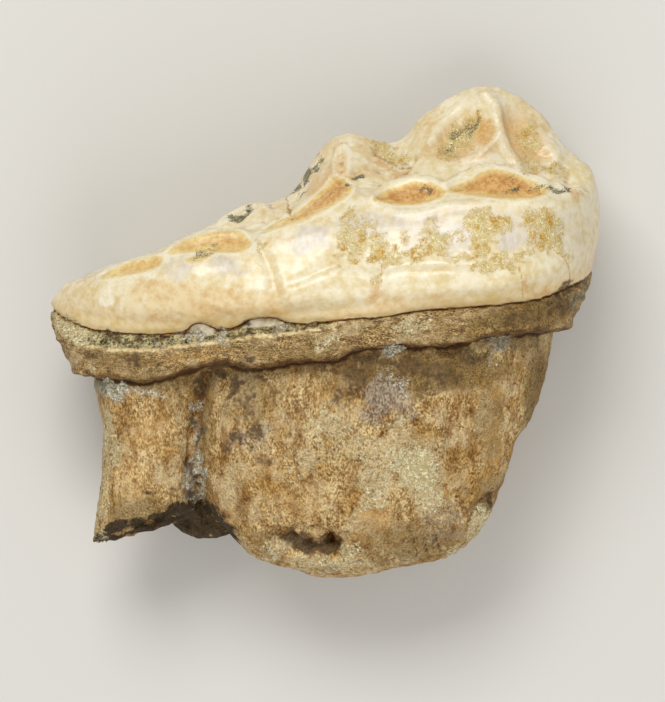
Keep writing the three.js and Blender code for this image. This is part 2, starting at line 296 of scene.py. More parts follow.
class Surface:
    """The tooth's skin while it is being sculpted: its points in millimetres and its marks."""

    # How far the normals tilt while the seen side gives way to the hidden one.
    horizon: float = 0.12
    # Between which heights the cheek side's lines give way to the tongue side's.
    cheek_top: float = 7.0
    tongue_foot: float = 13.0

    def __init__(self, mesh: bpy.types.Mesh, overhead: Overhead) -> None:
        """Takes the points and edges of a mesh that is drawn in millimetres.

        Args:
            mesh: the remeshed copy of the solid.
            overhead: from where the features are placed.
        """
        self.mesh = mesh
        self.overhead = overhead
        self.count = len(mesh.vertices)
        self.points = np.empty((self.count, 3))
        mesh.vertices.foreach_get("co", self.points.ravel())
        self.edges = np.empty((len(mesh.edges), 2), int)
        mesh.edges.foreach_get("vertices", self.edges.ravel())
        self.marks: dict[Mark, np.ndarray] = {}
        self.refresh()

    def refresh(self) -> None:
        """Works out again where the points face and where they appear from above."""
        self.mesh.vertices.foreach_set("co", self.points.ravel())
        self.mesh.update()
        normals = np.empty((self.count, 3), np.float32)
        self.mesh.vertex_normals.foreach_get("vector", normals.ravel())
        self.normals = normals.astype(float)
        self.seen = self.overhead.seen(self.points)
        self.upward = ease(-self.horizon, self.horizon, self.averaged(self.normals[:, 2], 3))

    def averaged(self, values: np.ndarray, rounds: int) -> np.ndarray:
        """Blends the points' values with their neighbours'.

        Args:
            values: one value for each point.
            rounds: how often they are blended.

        Returns:
            The blended values.
        """
        first, second = self.edges.T
        neighbours = np.bincount(self.edges.ravel(), minlength=self.count)
        for _ in range(rounds):
            total = np.bincount(first, values[second], self.count)
            total += np.bincount(second, values[first], self.count)
            values = 0.5 * values + 0.5 * total / neighbours
        return values

    def above(self, tongue: Line, cheek: Line) -> np.ndarray:
        """How far each point lies above a line round the tooth, drawn for its tongue and cheek sides."""
        share = ease(self.cheek_top, self.tongue_foot, self.points[:, 2])
        return share * tongue.above(self.seen) + (1.0 - share) * cheek.above(self.points)

    def push(self, amount: np.ndarray) -> None:
        """Moves every point outwards by its own amount in millimetres."""
        self.points += self.normals * amount[:, None]
        self.refresh()

    def soften(self, share: np.ndarray, rounds: int) -> None:
        """Rounds edges off, and keeps the broad form from shrinking.

        Args:
            share: how much of the rounding each point takes, from 0 to 1.
            rounds: how often the points are blended with their neighbours.
        """
        around = np.stack([self.averaged(axis, rounds) for axis in self.points.T], axis=1)
        moved = around - self.points
        shrunk = np.stack([self.averaged(axis, rounds) for axis in moved.T], axis=1)
        self.points += share[:, None] * (moved - shrunk)
        self.refresh()

    def sunk(self, rounds: int) -> np.ndarray:
        """How far each point lies below its averaged surroundings, in millimetres."""
        around = np.stack([self.averaged(axis, rounds) for axis in self.points.T], axis=1)
        return ((around - self.points) * self.normals).sum(axis=1)

    def keep_inside(self, low: np.ndarray, high: np.ndarray) -> None:
        """Holds every point within a box, so the solid's dimensions stay the limit."""
        self.points = np.clip(self.points, low, high)
        self.refresh()

    def store(self) -> None:
        """Writes the marks to the mesh as attributes."""
        for mark, values in self.marks.items():
            attribute = self.mesh.attributes.new(mark.value, "FLOAT", "POINT")
            attribute.data.foreach_set("value", values.astype(np.float32))


# --------------------------------------------------------------------- finishes


def linear(hex_colour: str) -> tuple[float, float, float, float]:
    """Turns an sRGB hex colour such as "#C9AD7F" into linear red, green, blue and alpha."""
    parts = (int(hex_colour[i : i + 2], 16) / 255 for i in (1, 3, 5))
    return (*(p / 12.92 if p <= 0.04045 else ((p + 0.055) / 1.055) ** 2.4 for p in parts), 1.0)


@dataclass(frozen=True)
class Finish:
    """One layer of the tooth's surface: two colours that mottle, and how it shines and feels.

    patch is the size of the mottling and speck the size of its finest grain, both in millimetres.
    relief is how far the grain stands out, in millimetres. glaze is how much of a clear, wet-looking
    gloss lies over it, from 0 to 1. The finishes share a few sizes, because each new size is one more
    pattern to work out in every render.
    """

    light: str
    dark: str
    patch: float
    speck: float
    roughness: float
    relief: float = 0.0
    stretch: float = 1.0
    glaze: float = 0.0


# Cementum: the dull, fibrous skin of the roots, dyed orange-brown by iron in the ground. Its real pores
# are finer than 0.1 mm. They are drawn 0.15 mm wide, so that they show.
CEMENTUM = Finish("#EFD398", "#8E6228", patch=0.6, speck=0.15, roughness=0.68, relief=0.08, stretch=1.7)
# Cream lime dust that stays in the root's grain.
ROOT_DUST = Finish("#EBD9AC", "#B8996A", patch=0.6, speck=0.15, roughness=0.8, relief=0.08)
# Olive-brown humus under the ledge and down the far sides, also laid as painted shade: under the ledge,
# along the roots' darker edges and at their lower end.
ROOT_UMBER_AND_SHADE = Finish("#A08046", "#422E12", patch=0.6, speck=0.15, roughness=0.72, relief=0.09)
# Brown humus stain, soaked into the root in broad clouds.
ROOT_TAN = Finish("#C4964A", "#76501E", patch=0.6, speck=0.15, roughness=0.7, relief=0.08, stretch=1.7)
# The ledge at the neck: thicker cementum, browner, its grain running round the tooth.
LEDGE = Finish("#E4BE7E", "#563A18", patch=0.6, speck=0.15, roughness=0.55, relief=0.1, stretch=0.45)
# Clay and lime packed in the gap under the enamel.
SEDIMENT = Finish("#D6C894", "#2C220E", patch=0.9, speck=0.2, roughness=0.9, relief=0.12)
# The ledge's thin upper rim: rubbed pale, and a painted highlight where it faces the light.
RUBBED_AND_HIGHLIT_RIM = Finish("#F4E0AC", "#D0B074", patch=0.9, speck=0.3, roughness=0.6, relief=0.03)
# Enamel: smooth and hard, cream, with a wet-looking gloss.
ENAMEL = Finish("#F0E6C8", "#E0CB96", patch=3.0, speck=0.7, roughness=0.34, relief=0.004, glaze=0.34)
# Enamel over thick dentine at the heel: the tan below shows through it.
TAN_ENAMEL = Finish("#E8D2A2", "#D3B078", patch=3.0, speck=0.7, roughness=0.34, relief=0.004, glaze=0.34)
# Polished enamel facets, greyish white with a lilac cast: partly their own colour, partly a painted
# reflection of the light.
GLASSY_ENAMEL_AND_REFLECTION = Finish("#DED5C8", "#C8BAA8", patch=1.0, speck=0.4, roughness=0.35, stretch=3.0, glaze=0.3)
# Worn facets on the cusps: enamel ground so thin that the orange dentine glows through.
THIN_ENAMEL = Finish("#F0D49A", "#D6A662", patch=0.9, speck=0.3, roughness=0.42, relief=0.02, glaze=0.3)
# Chalk-white enamel: scuffs, ridge crests and the groove. On the crests and the heel's crest lip it is also
# a painted highlight.
WHITE_ENAMEL_AND_HIGHLIGHT = Finish("#F8F1DB", "#E8DAB0", patch=0.6, speck=0.2, roughness=0.5, relief=0.03, glaze=0.3)
# A flake of enamel that has come away at the edge: dull grey-white.
CHIPPED_ENAMEL = Finish("#DDD3BA", "#B9AC8C", patch=0.9, speck=0.3, roughness=0.5, relief=0.02)
# Dentine laid bare by chewing: yellow next to the enamel.
WORN_EDGE = Finish("#F2DE9E", "#DCB970", patch=0.9, speck=0.3, roughness=0.45, relief=0.01, glaze=0.3)
# Dentine laid bare by chewing: orange-brown in the middle of an island.
WORN_CORE = Finish("#E4B874", "#BE8644", patch=0.9, speck=0.3, roughness=0.5, relief=0.03, glaze=0.2)
# The thin enamel rim round each worn island.
WORN_RIM = Finish("#F8F0DA", "#ECDFB6", patch=0.9, speck=0.3, roughness=0.35, glaze=0.5)
# Yellow lime crust: granular and matt, with dark hollows between its grains. The grains are drawn a
# little coarser than the real ones, so that they show.
CRUST = Finish("#FFF8C0", "#CDA658", patch=0.34, speck=0.15, roughness=0.8, relief=0.08)
# The brown film that the yellow crust sits in.
CRUST_FILM = Finish("#EAD49E", "#C09A5A", patch=0.6, speck=0.2, roughness=0.5, relief=0.03, glaze=0.2)
# Chalky crust on the roots.
PALE_CRUST = Finish("#F9EEC4", "#C2A564", patch=0.34, speck=0.15, roughness=0.85, relief=0.12)
# Grey-white lime deposit.
GREY_DEPOSIT = Finish("#EFE8D0", "#7E7454", patch=0.34, speck=0.15, roughness=0.9, relief=0.12)
# Manganese stain: dark brown on dentine.
DARK_STAIN = Finish("#6A5030", "#2E2113", patch=0.6, speck=0.2, roughness=0.7, relief=0.06)
# Manganese stain: near black on enamel, speckled.
BLACK_STAIN = Finish("#8E8A6C", "#202018", patch=0.2, speck=0.15, roughness=0.6)
# A purplish bloom on the largest root.
VIOLET_BLOOM = Finish("#B4A390", "#5E4B38", patch=0.6, speck=0.15, roughness=0.75, relief=0.08, stretch=1.7)
# An orange wash of iron.
OCHRE_WASH = Finish("#E0B062", "#BA8238", patch=0.6, speck=0.2, roughness=0.5, glaze=0.3)
# The broken end of the heel root: dark, dirty inner dentine, made darker still as painted shade. It is also
# laid in the notch beside it as painted shade.
BROKEN_DENTINE_AND_SHADE = Finish("#463622", "#140E08", patch=0.6, speck=0.2, roughness=0.9, relief=0.12)


# What is the same all over: a soft clear gloss, and the refraction and faint shine of tooth mineral.
EVERYWHERE = {"Coat Roughness": 0.13, "Coat IOR": 1.55, "IOR": 1.45, "Specular IOR Level": 0.3}
# How many octaves of noise a pattern has: broad patches need more than fine specks.
BROAD, FINE = 4.0, 3.0
# A finish's pattern: how much of it is broad, and between which of its values dark turns to light.
BROAD_SHARE, FINE_SHARE = 0.4, 0.6
ALL_DARK, ALL_LIGHT = 0.36, 0.62
# The Mix node's sockets by number, because several of them share a name.
FROM, TO = 2, 3
COLOUR_FROM, COLOUR_TO, COLOUR_OUT = 6, 7, 2
Mask = bpy.types.NodeSocket | float


class Coat:
    """Layers of finish on one surface, each over the last, built as one node tree."""

    def __init__(self, name: str) -> None:
        """Starts an empty coat on a new material.

        Args:
            name: the material's name.
        """
        self.material = bpy.data.materials.new(name)
        self.material.use_nodes = True
        self.tree = self.material.node_tree
        self.shader = self.tree.nodes["Principled BSDF"]
        self.place = self.node("ShaderNodeTexCoord").outputs["Object"]
        self.colour: bpy.types.NodeSocket | None = None
        self.roughness: Mask = 0.5
        self.glaze: Mask = 0.0
        self.relief: Mask = 0.0
        self.patterns: dict[tuple[float, float, float], bpy.types.NodeSocket] = {}

    def node(self, kind: str, settings: dict | None = None, links: dict | None = None) -> bpy.types.Node:
        """Adds a node.

        Args:
            kind: the node's type name.
            settings: its properties, by name.
            links: for each input, by name or number, a socket to link or a value to set.

        Returns:
            The new node.
        """
        made = self.tree.nodes.new(kind)
        for key, value in (settings or {}).items():
            setattr(made, key, value)
        for key, value in (links or {}).items():
            if isinstance(value, bpy.types.NodeSocket):
                self.tree.links.new(value, made.inputs[key])
            else:
                made.inputs[key].default_value = value
        return made

    def grains(self, size: float, detail: float = FINE, stretch: float = 1.0) -> bpy.types.NodeSocket:
        """Makes a noise pattern of one real size, or takes up the like one made before.

        Args:
            size: the size of its coarsest lumps, in millimetres.
            detail: how many octaves it has.
            stretch: how much longer than wide the lumps are, along the roots.

        Returns:
            The pattern's socket.
        """
        wanted = (size, detail, stretch)
        if wanted not in self.patterns:
            scale = (1.0 / (size * MM), 1.0 / (size * stretch * MM), 1.0 / (size * MM))
            place = self.node("ShaderNodeMapping", {}, {"Vector": self.place, "Scale": scale})
            links = {"Vector": place.outputs["Vector"], "Scale": 1.0, "Detail": detail, "Roughness": 0.6}
            self.patterns[wanted] = self.node("ShaderNodeTexNoise", {}, links).outputs["Fac"]
        return self.patterns[wanted]

    def where(
        self, mark: Mark, low: float, high: float, ragged: float = 0.0, size: float = 0.6
    ) -> bpy.types.NodeSocket:
        """Makes a mask of where a mark shows.

        Args:
            mark: the mark to read from the mesh.
            low: the mark's value where the mask is 0.
            high: the mark's value where the mask is 1.
            ragged: how far noise moves the mark's value, so that the mask's edge is uneven.
            size: the size of that unevenness, in millimetres.

        Returns:
            The mask's socket.
        """
        value = self.node("ShaderNodeAttribute", {"attribute_name": mark.value}).outputs["Fac"]
        if ragged:
            wobble = {0: self.grains(size, BROAD), 1: 6.0 * ragged, 2: -3.0 * ragged}
            shift = self.node("ShaderNodeMath", {"operation": "MULTIPLY_ADD"}, wobble).outputs[0]
            value = self.node("ShaderNodeMath", {"operation": "ADD"}, {0: value, 1: shift}).outputs[0]
        return self.spread(value, low, high)

    def stained(
        self, mark: Mark, low: float, high: float, ragged: float, size: float
    ) -> bpy.types.NodeSocket:
        """How fully a ragged patch shows, as where() does, but never beyond the mark's own reach."""
        return self.overlap(self.where(mark, low, high, ragged, size), self.where(mark, 0.02, 0.2))

    def spread(self, value: bpy.types.NodeSocket, low: float, high: float) -> bpy.types.NodeSocket:
        """Goes smoothly from 0 where the value is low to 1 where it is high."""
        span = {"Value": value, "From Min": low, "From Max": high}
        return self.node("ShaderNodeMapRange", {"interpolation_type": "SMOOTHSTEP"}, span).outputs["Result"]

    def clouds(self, size: float, cover: float, detail: float = BROAD) -> bpy.types.NodeSocket:
        """Scattered patches of one size in millimetres that cover about the given share."""
        middle = 0.5 + 0.3 * (0.5 - cover)
        return self.spread(self.grains(size, detail), middle - 0.1, middle + 0.1)

    def overlap(self, first: Mask, *others: Mask) -> Mask:
        """Finds where masks all show: their product.

        Args:
            first: a mask, or a strength that is the same all over.
            others: more of them, or none.

        Returns:
            The overlap's socket, or the first where there are no others.
        """
        for other in others:
            links = {0: first, 1: other}
            first = self.node("ShaderNodeMath", {"operation": "MULTIPLY"}, links).outputs[0]
        return first

    def mottled(self, finish: Finish) -> tuple[bpy.types.NodeSocket, bpy.types.NodeSocket]:
        """Mottles a finish's two colours.

        Args:
            finish: the finish.

        Returns:
            The colour, and the pattern that its relief follows.
        """
        broad = self.grains(finish.patch, BROAD, finish.stretch)
        fine = self.grains(finish.speck, FINE, finish.stretch)
        both = {0: broad, 1: BROAD_SHARE, 2: self.overlap(fine, FINE_SHARE)}
        pattern = self.node("ShaderNodeMath", {"operation": "MULTIPLY_ADD"}, both).outputs[0]
        share = self.spread(pattern, ALL_DARK, ALL_LIGHT)
        mix = {"Factor": share, COLOUR_FROM: linear(finish.dark), COLOUR_TO: linear(finish.light)}
        return self.node("ShaderNodeMix", {"data_type": "RGBA"}, mix).outputs[COLOUR_OUT], share

    def lay(self, finish: Finish, *masks: Mask) -> None:
        """Lays a finish over what is there.

        Args:
            finish: the finish.
            masks: it shows where these all do, or everywhere if there are none.
        """
        colour, pattern = self.mottled(finish)
        height = self.overlap(pattern, finish.relief)
        if not masks:
            self.colour, self.relief = colour, height
            self.roughness, self.glaze = finish.roughness, finish.glaze
            return
        mask = self.overlap(*masks)
        tints = {"Factor": mask, COLOUR_FROM: self.colour, COLOUR_TO: colour}
        self.colour = self.node("ShaderNodeMix", {"data_type": "RGBA"}, tints).outputs[COLOUR_OUT]
        gloss = {"Factor": mask, FROM: self.roughness, TO: finish.roughness}
        self.roughness = self.node("ShaderNodeMix", {"data_type": "FLOAT"}, gloss).outputs[0]
        glazes = {"Factor": mask, FROM: self.glaze, TO: finish.glaze}
        self.glaze = self.node("ShaderNodeMix", {"data_type": "FLOAT"}, glazes).outputs[0]
        heights = {"Factor": mask, FROM: self.relief, TO: height}
        self.relief = self.node("ShaderNodeMix", {"data_type": "FLOAT"}, heights).outputs[0]

    def tint(self, hex_colour: str, *masks: Mask) -> None:
        """Multiplies the colour so far by another.

        Args:
            hex_colour: the other colour.
            masks: it shows where these all do.
        """
        tints = {"Factor": self.overlap(*masks), COLOUR_FROM: self.colour, COLOUR_TO: linear(hex_colour)}
        settings = {"data_type": "RGBA", "blend_type": "MULTIPLY"}
        self.colour = self.node("ShaderNodeMix", settings, tints).outputs[COLOUR_OUT]

    def finish(self) -> bpy.types.Material:
        """Links the layers to the shader.

        Returns:
            The finished material.
        """
        bump = {"Height": self.relief, "Strength": 1.0, "Distance": MM}
        normal = self.node("ShaderNodeBump", {}, bump).outputs["Normal"]
        layers = {"Base Color": self.colour, "Roughness": self.roughness, "Coat Weight": self.glaze}
        for name, socket in {**layers, "Normal": normal}.items():
            self.tree.links.new(socket, self.shader.inputs[name])
        for name, value in EVERYWHERE.items():
            self.shader.inputs[name].default_value = value
        return self.material


# --------------------------------------------------------------------- the tooth's own regions


@dataclass(frozen=True)
class Crown:
    """The enamel crown: its lower edge, the cusps, the worn hollows and the furrows between them."""

    edge: Line = Line((
        (-22.7, 1.8), (-22.3, 1.3), (-21.2, 0.7), (-19.7, 0.1), (-18.6, -0.1), (-17.2, -0.3),
        (-15.5, -0.4), (-11.8, -0.3), (-11.2, 0.3), (-10.5, 0.5), (-9.8, 0.4), (-9.1, 0.0),
        (-8.3, 0.0), (-7.2, 0.3), (-6.6, 0.7), (-6.0, 0.9), (-4.9, 1.0), (-3.9, 0.9), (-3.3, 0.6),
        (-2.2, 0.5), (-1.4, 0.5), (1.0, 0.8), (4.6, 1.0), (6.6, 1.4), (8.3, 1.6), (12.9, 1.9),
        (16.3, 2.3), (18.1, 2.6), (20.1, 3.5), (21.0, 3.9), (22.8, 5.0),
    ))
    edge_cheek: Line = Line((
        (-22.6, 1.7), (-21.6, 1.1), (-19.2, 0.4), (-14.2, 0.7), (-8.3, 1.4), (-2.3, 1.9), (3.7, 2.6),
        (9.7, 3.1), (15.7, 3.8), (19.1, 4.3), (21.3, 5.2), (22.8, 5.8),
    ))
    islands: tuple[Outline, ...] = (
        Outline((
            (-13.1, 6.3), (-12.0, 7.1), (-10.7, 7.6), (-9.1, 8.0), (-7.9, 8.1), (-7.0, 7.9),
            (-6.3, 7.2), (-6.4, 6.7), (-7.2, 6.4), (-8.6, 6.4), (-10.2, 6.5), (-11.7, 6.4),
        )),
        Outline((
            (-18.7, 4.2), (-17.8, 4.8), (-16.0, 5.5), (-14.6, 5.8), (-13.5, 6.0), (-13.8, 5.3),
            (-14.9, 4.8), (-16.5, 4.5), (-17.8, 4.3),
        )),
        Outline((
            (3.9, 10.7), (4.9, 11.3), (5.9, 11.8), (7.1, 12.1), (8.3, 12.1), (9.3, 11.7),
            (9.9, 11.3), (9.3, 10.8), (8.3, 10.5), (7.1, 10.3), (5.9, 10.3), (4.9, 10.5),
        )),
        Outline((
            (10.1, 11.5), (11.0, 11.9), (12.1, 12.3), (12.7, 12.9), (13.8, 13.1), (14.8, 13.0),
            (15.9, 12.6), (17.0, 12.1), (18.4, 11.5), (18.0, 11.1), (16.8, 10.8), (15.0, 10.8),
            (13.2, 11.0), (11.8, 11.2), (10.6, 11.3),
        )),
    )
    strips: tuple[Outline, ...] = (
        Outline((
            (-5.3, 8.0), (-3.8, 8.9), (-2.9, 9.3), (-1.8, 10.0), (-0.7, 11.0), (0.2, 11.9),
            (0.6, 12.6), (1.6, 12.2), (2.2, 11.5), (1.4, 10.8), (0.2, 10.1), (-0.9, 9.5),
            (-2.4, 8.8), (-3.8, 8.5),
        )),
        Outline(((-11.6, 5.7), (-10.5, 6.1), (-9.4, 6.3), (-10.0, 5.8), (-10.8, 5.5))),
    )
    pits: tuple[tuple[Outline, float], ...] = (
        (Outline((
            (8.7, 15.4), (9.6, 16.6), (10.6, 17.6), (11.8, 18.1), (13.1, 17.8), (13.8, 17.3),
            (14.0, 16.3), (13.9, 15.6), (13.2, 15.0), (12.2, 14.3), (11.3, 13.9), (10.1, 13.9),
            (9.1, 14.4),
        )), 0.55),
        (Outline((
            (14.1, 17.4), (15.2, 17.9), (16.4, 17.3), (17.7, 16.0), (18.6, 14.8), (19.3, 14.0),
            (18.1, 13.5), (16.4, 13.6), (15.3, 14.1), (14.6, 15.2), (14.2, 16.4),
        )), 0.3),
        (Outline(((-3.6, 6.4), (-1.7, 8.1), (0.4, 9.3), (0.5, 7.3), (-0.6, 6.1), (-2.6, 5.8))), 0.12),
        (Outline(((0.8, 12.9), (1.3, 12.6), (1.7, 13.2), (1.8, 14.2), (1.4, 14.9), (0.9, 14.4))), 0.35),
    )
    ridges: tuple[tuple[Line, float, float], ...] = (
        (Line((
            (13.1, 19.1), (13.8, 18.7), (14.0, 17.8), (14.2, 16.9), (14.6, 15.6), (15.1, 14.5),
            (15.9, 13.4),
        )), 0.45, 0.4),
        (Line(((8.6, 15.4), (9.5, 16.9), (10.6, 18.1), (11.8, 18.8), (13.1, 19.1))), 0.4, 0.22),
        (Line(((11.3, 13.9), (12.5, 14.4), (13.6, 15.2), (14.2, 16.2))), 0.3, 0.15),
        (Line((
            (3.8, 10.9), (4.8, 11.6), (5.8, 12.1), (7.1, 12.4), (8.3, 12.3), (9.3, 12.0),
            (9.8, 11.7), (10.2, 12.1), (11.0, 12.6), (12.0, 12.9), (13.1, 13.5), (14.6, 13.3),
            (15.7, 12.9), (17.9, 12.1), (19.8, 11.8),
        )), 0.28, 0.22),
        (Line((
            (2.9, 10.8), (3.6, 10.6), (4.6, 10.1), (5.9, 9.6), (7.1, 9.5), (8.3, 9.7), (9.5, 10.1),
            (11.0, 10.4), (14.3, 10.3), (16.8, 10.4), (19.3, 10.2),
        )), 0.3, 0.16),
        (Line(((0.7, 12.8), (0.6, 13.8), (1.0, 15.1), (1.6, 15.0), (2.0, 14.0), (1.8, 12.9))), 0.22, 0.24),
        (Line(((-8.8, 8.7), (-7.7, 9.8), (-6.0, 10.3), (-4.9, 10.0), (-4.3, 9.6))), 0.3, 0.15),
        (Line(((19.0, 13.9), (18.9, 14.6), (18.2, 15.1))), 0.5, 0.3),
        (Line(((-6.0, 6.6), (-5.2, 5.2), (-4.9, 4.4))), 0.35, 0.12),
    )
    furrows: tuple[tuple[Line, float, float], ...] = (
        (Line(((-6.6, 7.5), (-5.6, 6.6), (-4.9, 5.0), (-4.3, 3.4), (-4.0, 2.1))), 0.5, 0.22),
        (Line(((4.2, 14.6), (4.8, 14.3), (5.3, 14.0), (6.1, 13.5), (6.5, 13.1))), 0.25, 0.3),
        (Line(((7.2, 14.1), (6.9, 13.6), (6.5, 13.1), (5.6, 12.6), (4.4, 12.0))), 0.25, 0.3),
        (Line(((-3.35, 10.8), (-3.2, 10.0), (-2.9, 9.3))), 0.18, 0.26),
        (Line(((-4.6, 10.2), (-4.4, 9.6), (-4.0, 9.2))), 0.22, 0.25),
        (Line(((-5.0, 8.9), (-5.6, 9.2), (-7.2, 8.6), (-8.6, 8.3))), 0.25, 0.25),
        (Line(((4.5, 5.6), (4.5, 4.2), (4.4, 2.6))), 0.55, 0.2),
        (Line(((20.0, 11.6), (19.9, 12.8), (19.3, 13.6), (18.2, 13.2), (16.9, 12.9))), 0.3, 0.2),
        (Line(((-2.9, 10.6), (-1.6, 12.1), (-0.4, 13.9), (0.4, 14.4))), 0.35, 0.18),
        (Line(((2.3, 12.9), (3.0, 13.3), (4.0, 13.2), (5.0, 13.4))), 0.3, 0.22),
    )
    crease: Line = Line((
        (-3.8, 3.7), (-2.2, 4.0), (-0.7, 4.8), (0.7, 5.4), (3.4, 5.3), (4.4, 5.0), (6.1, 5.4),
        (9.4, 5.5), (11.9, 5.4), (13.5, 5.0), (15.3, 5.5), (16.8, 6.0), (19.8, 6.4),
    ))
    chips: tuple[Outline, ...] = (
        Outline((
            (-11.8, -0.5), (-11.2, 0.3), (-10.5, 0.5), (-9.8, 0.4), (-9.1, -0.1), (-8.8, -0.4),
            (-10.2, -0.7),
        )),
        Outline((
            (-7.3, 0.0), (-6.6, 0.6), (-6.0, 0.9), (-4.9, 1.0), (-3.9, 0.9), (-3.2, 0.4), (-4.5, 0.2),
        )),
    )
    cracks: tuple[Line, ...] = (
        Line(((-22.6, 1.8), (-22.3, 1.3), (-21.2, 0.7), (-19.7, 0.1), (-18.6, -0.1))),
        Line(((4.5, 5.5), (4.7, 4.5), (4.45, 3.6), (4.5, 2.9), (4.4, 1.7))),
        Line(((15.7, 5.9), (15.9, 5.1), (16.2, 4.1), (16.2, 2.6))),
        Line(((18.8, 6.5), (19.8, 5.8), (20.1, 4.8), (20.1, 3.9))),
        Line(((-3.35, 10.8), (-3.2, 10.0), (-2.9, 9.3))),
    )
    ridge_gain: float = 1.3
    furrow_gain: float = 1.2
    rim_height: float = 0.1
    island_depth: float = 0.34
    strip_depth: float = 0.22
    crease_depth: float = 0.16
    crease_bulge: float = 0.1
    lip_height: float = 0.14
    lip_undercut: float = 0.26
    wrinkle_size: float = 1.3
    wrinkle_height: float = 0.16
    swell_height: float = 0.04

    def rise(self, skin: Surface) -> np.ndarray:
        """How far each point lies above the enamel's lower edge, in millimetres."""
        return skin.above(self.edge, self.edge_cheek) + 0.08 * grain(skin.points, 1.4, 3, 9.0)

    def worn(self, skin: Surface) -> np.ndarray:
        """Measures how far inside a worn island or strip the points lie.

        Args:
            skin: the tooth's skin.

        Returns:
            The depth of each point, less than 0 outside them all.
        """
        depth = np.max([area.depth(skin.seen) for area in self.islands + self.strips], axis=0)
        depth = np.where(depth > 0.0, depth * (0.45 + 0.55 * ease(-6.0, -2.0, skin.seen[:, 0])), depth)
        return np.where(skin.upward > 0.2, depth, -NOWHERE)

    def sculpt(self, skin: Surface) -> None:
        """Carves the cusps, the worn islands, the furrows and the enamel's lip.

        Args:
            skin: the skin to carve.
        """
        amount = np.zeros(skin.count)
        for line, width, height in self.ridges:
            amount += self.ridge_gain * height * hump(line.away(skin.seen), width)
        for line, width, depth in self.furrows:
            amount -= self.furrow_gain * depth * hump(line.away(skin.seen), width)
        for area, depth in self.pits:
            amount -= self.furrow_gain * depth * ease(-0.3, 1.3, area.depth(skin.seen))
        walls = [(area, self.island_depth, -0.05, 0.5) for area in self.islands]
        walls += [(area, self.strip_depth, 0.0, 0.4) for area in self.strips]
        for area, depth, top, bottom in walls:
            inside = area.depth(skin.seen)
            amount += self.rim_height * hump(inside + 0.25, 0.2) - depth * ease(top, bottom, inside)
        over = self.crease.above(skin.seen)
        along = ease(-5.0, -2.0, skin.seen[:, 0]) * ease(20.5, 18.5, skin.seen[:, 0])
        amount += along * (self.crease_bulge * hump(over + 1.1, 0.9) - self.crease_depth * hump(over, 0.4))
        skin.push(amount * skin.upward)
        rise = self.rise(skin)
        lip = self.lip_height * hump(rise - 0.5, 0.4) - self.lip_undercut * hump(rise + 0.1, 0.17)
        grinding = skin.averaged(np.clip(skin.normals[:, 1], 0.0, 1.0), 6)
        folds = np.abs(grain(skin.points, self.wrinkle_size, 3, 31.0))
        occlusal = ease(0.35, 0.8, grinding) * ease(5.5, 8.0, skin.points[:, 2])
        occlusal *= ease(1.0, 3.0, rise) * ease(18.6, 16.0, skin.points[:, 2])
        wrinkles = self.wrinkle_height * (0.25 - folds) * 2.0 * occlusal
        swell = self.swell_height * grain(skin.points, 4.0, 2, 5.0) * ease(0.0, 1.0, rise)
        skin.push(lip + wrinkles + swell)

    def mark(self, skin: Surface) -> None:
        """Notes where the enamel, the worn dentine and the cracks are.

        Args:
            skin: the skin to mark.
        """
        skin.marks[Mark.ENAMEL_RISE] = self.rise(skin)
        skin.marks[Mark.WEAR] = self.worn(skin)
        skin.marks[Mark.CHIP] = np.max([chip.depth(skin.seen) for chip in self.chips], axis=0)
        facets = [area.depth(skin.seen) for area, depth in self.pits if depth > 0.15]
        skin.marks[Mark.FACET] = np.where(skin.upward > 0.2, np.max(facets, axis=0), -NOWHERE)
        crests = [hump(line.away(skin.seen), width) for line, width, _ in self.ridges]
        skin.marks[Mark.CREST] = np.max(crests, axis=0) * skin.upward
        nearest = np.min([crack.away(skin.seen) for crack in self.cracks], axis=0)
        skin.marks[Mark.CRACK] = np.where(skin.upward > 0.5, nearest, NOWHERE)

    def dress(self, coat: Coat) -> None:
        """Lays the enamel, its thin and polished places, the worn islands and the line at its edge. Painted
        light is laid with them: reflections on the polished places, highlights along the crests, and shade
        towards the enamel's lower edge.

        Args:
            coat: the tooth's coat so far.
        """
        enamel = coat.where(Mark.ENAMEL_RISE, -0.05, 0.05, 0.02)
        coat.lay(ENAMEL, enamel)
        coat.lay(TAN_ENAMEL, enamel, coat.where(Mark.TAN, 0.0, 1.0, 0.1, 1.5))
        # Polished facets, partly a painted reflection of the light on the upper wall.
        coat.lay(GLASSY_ENAMEL_AND_REFLECTION, enamel, coat.where(Mark.GLASS_AND_REFLECTION, 0.0, 1.1, 0.15, 1.5), 0.85)
        coat.lay(THIN_ENAMEL, coat.where(Mark.FACET, -0.3, 1.1, 0.3, 0.9), 0.75)
        coat.lay(OCHRE_WASH, enamel, coat.where(Mark.OCHRE, 0.0, 1.2, 0.12), 0.7)
        # The ridge crests: partly chalky wear, partly a painted highlight along them.
        coat.lay(WHITE_ENAMEL_AND_HIGHLIGHT, coat.where(Mark.CREST, 0.3, 1.1, 0.2), 0.55)
        # White patches: chalky scuffs, with painted highlights along the heel's crest lip.
        coat.lay(WHITE_ENAMEL_AND_HIGHLIGHT, coat.stained(Mark.WHITE_AND_HIGHLIGHT, 0.15, 0.9, 0.15, 0.6), 0.8)
        coat.lay(CHIPPED_ENAMEL, coat.where(Mark.CHIP, -0.05, 0.08))
        coat.lay(WORN_RIM, coat.where(Mark.WEAR, -0.42, -0.2, 0.05), 0.7)
        coat.lay(WORN_EDGE, coat.where(Mark.WEAR, -0.25, 0.0, 0.06))
        coat.lay(WORN_CORE, coat.where(Mark.WEAR, -0.1, 0.5, 0.12))
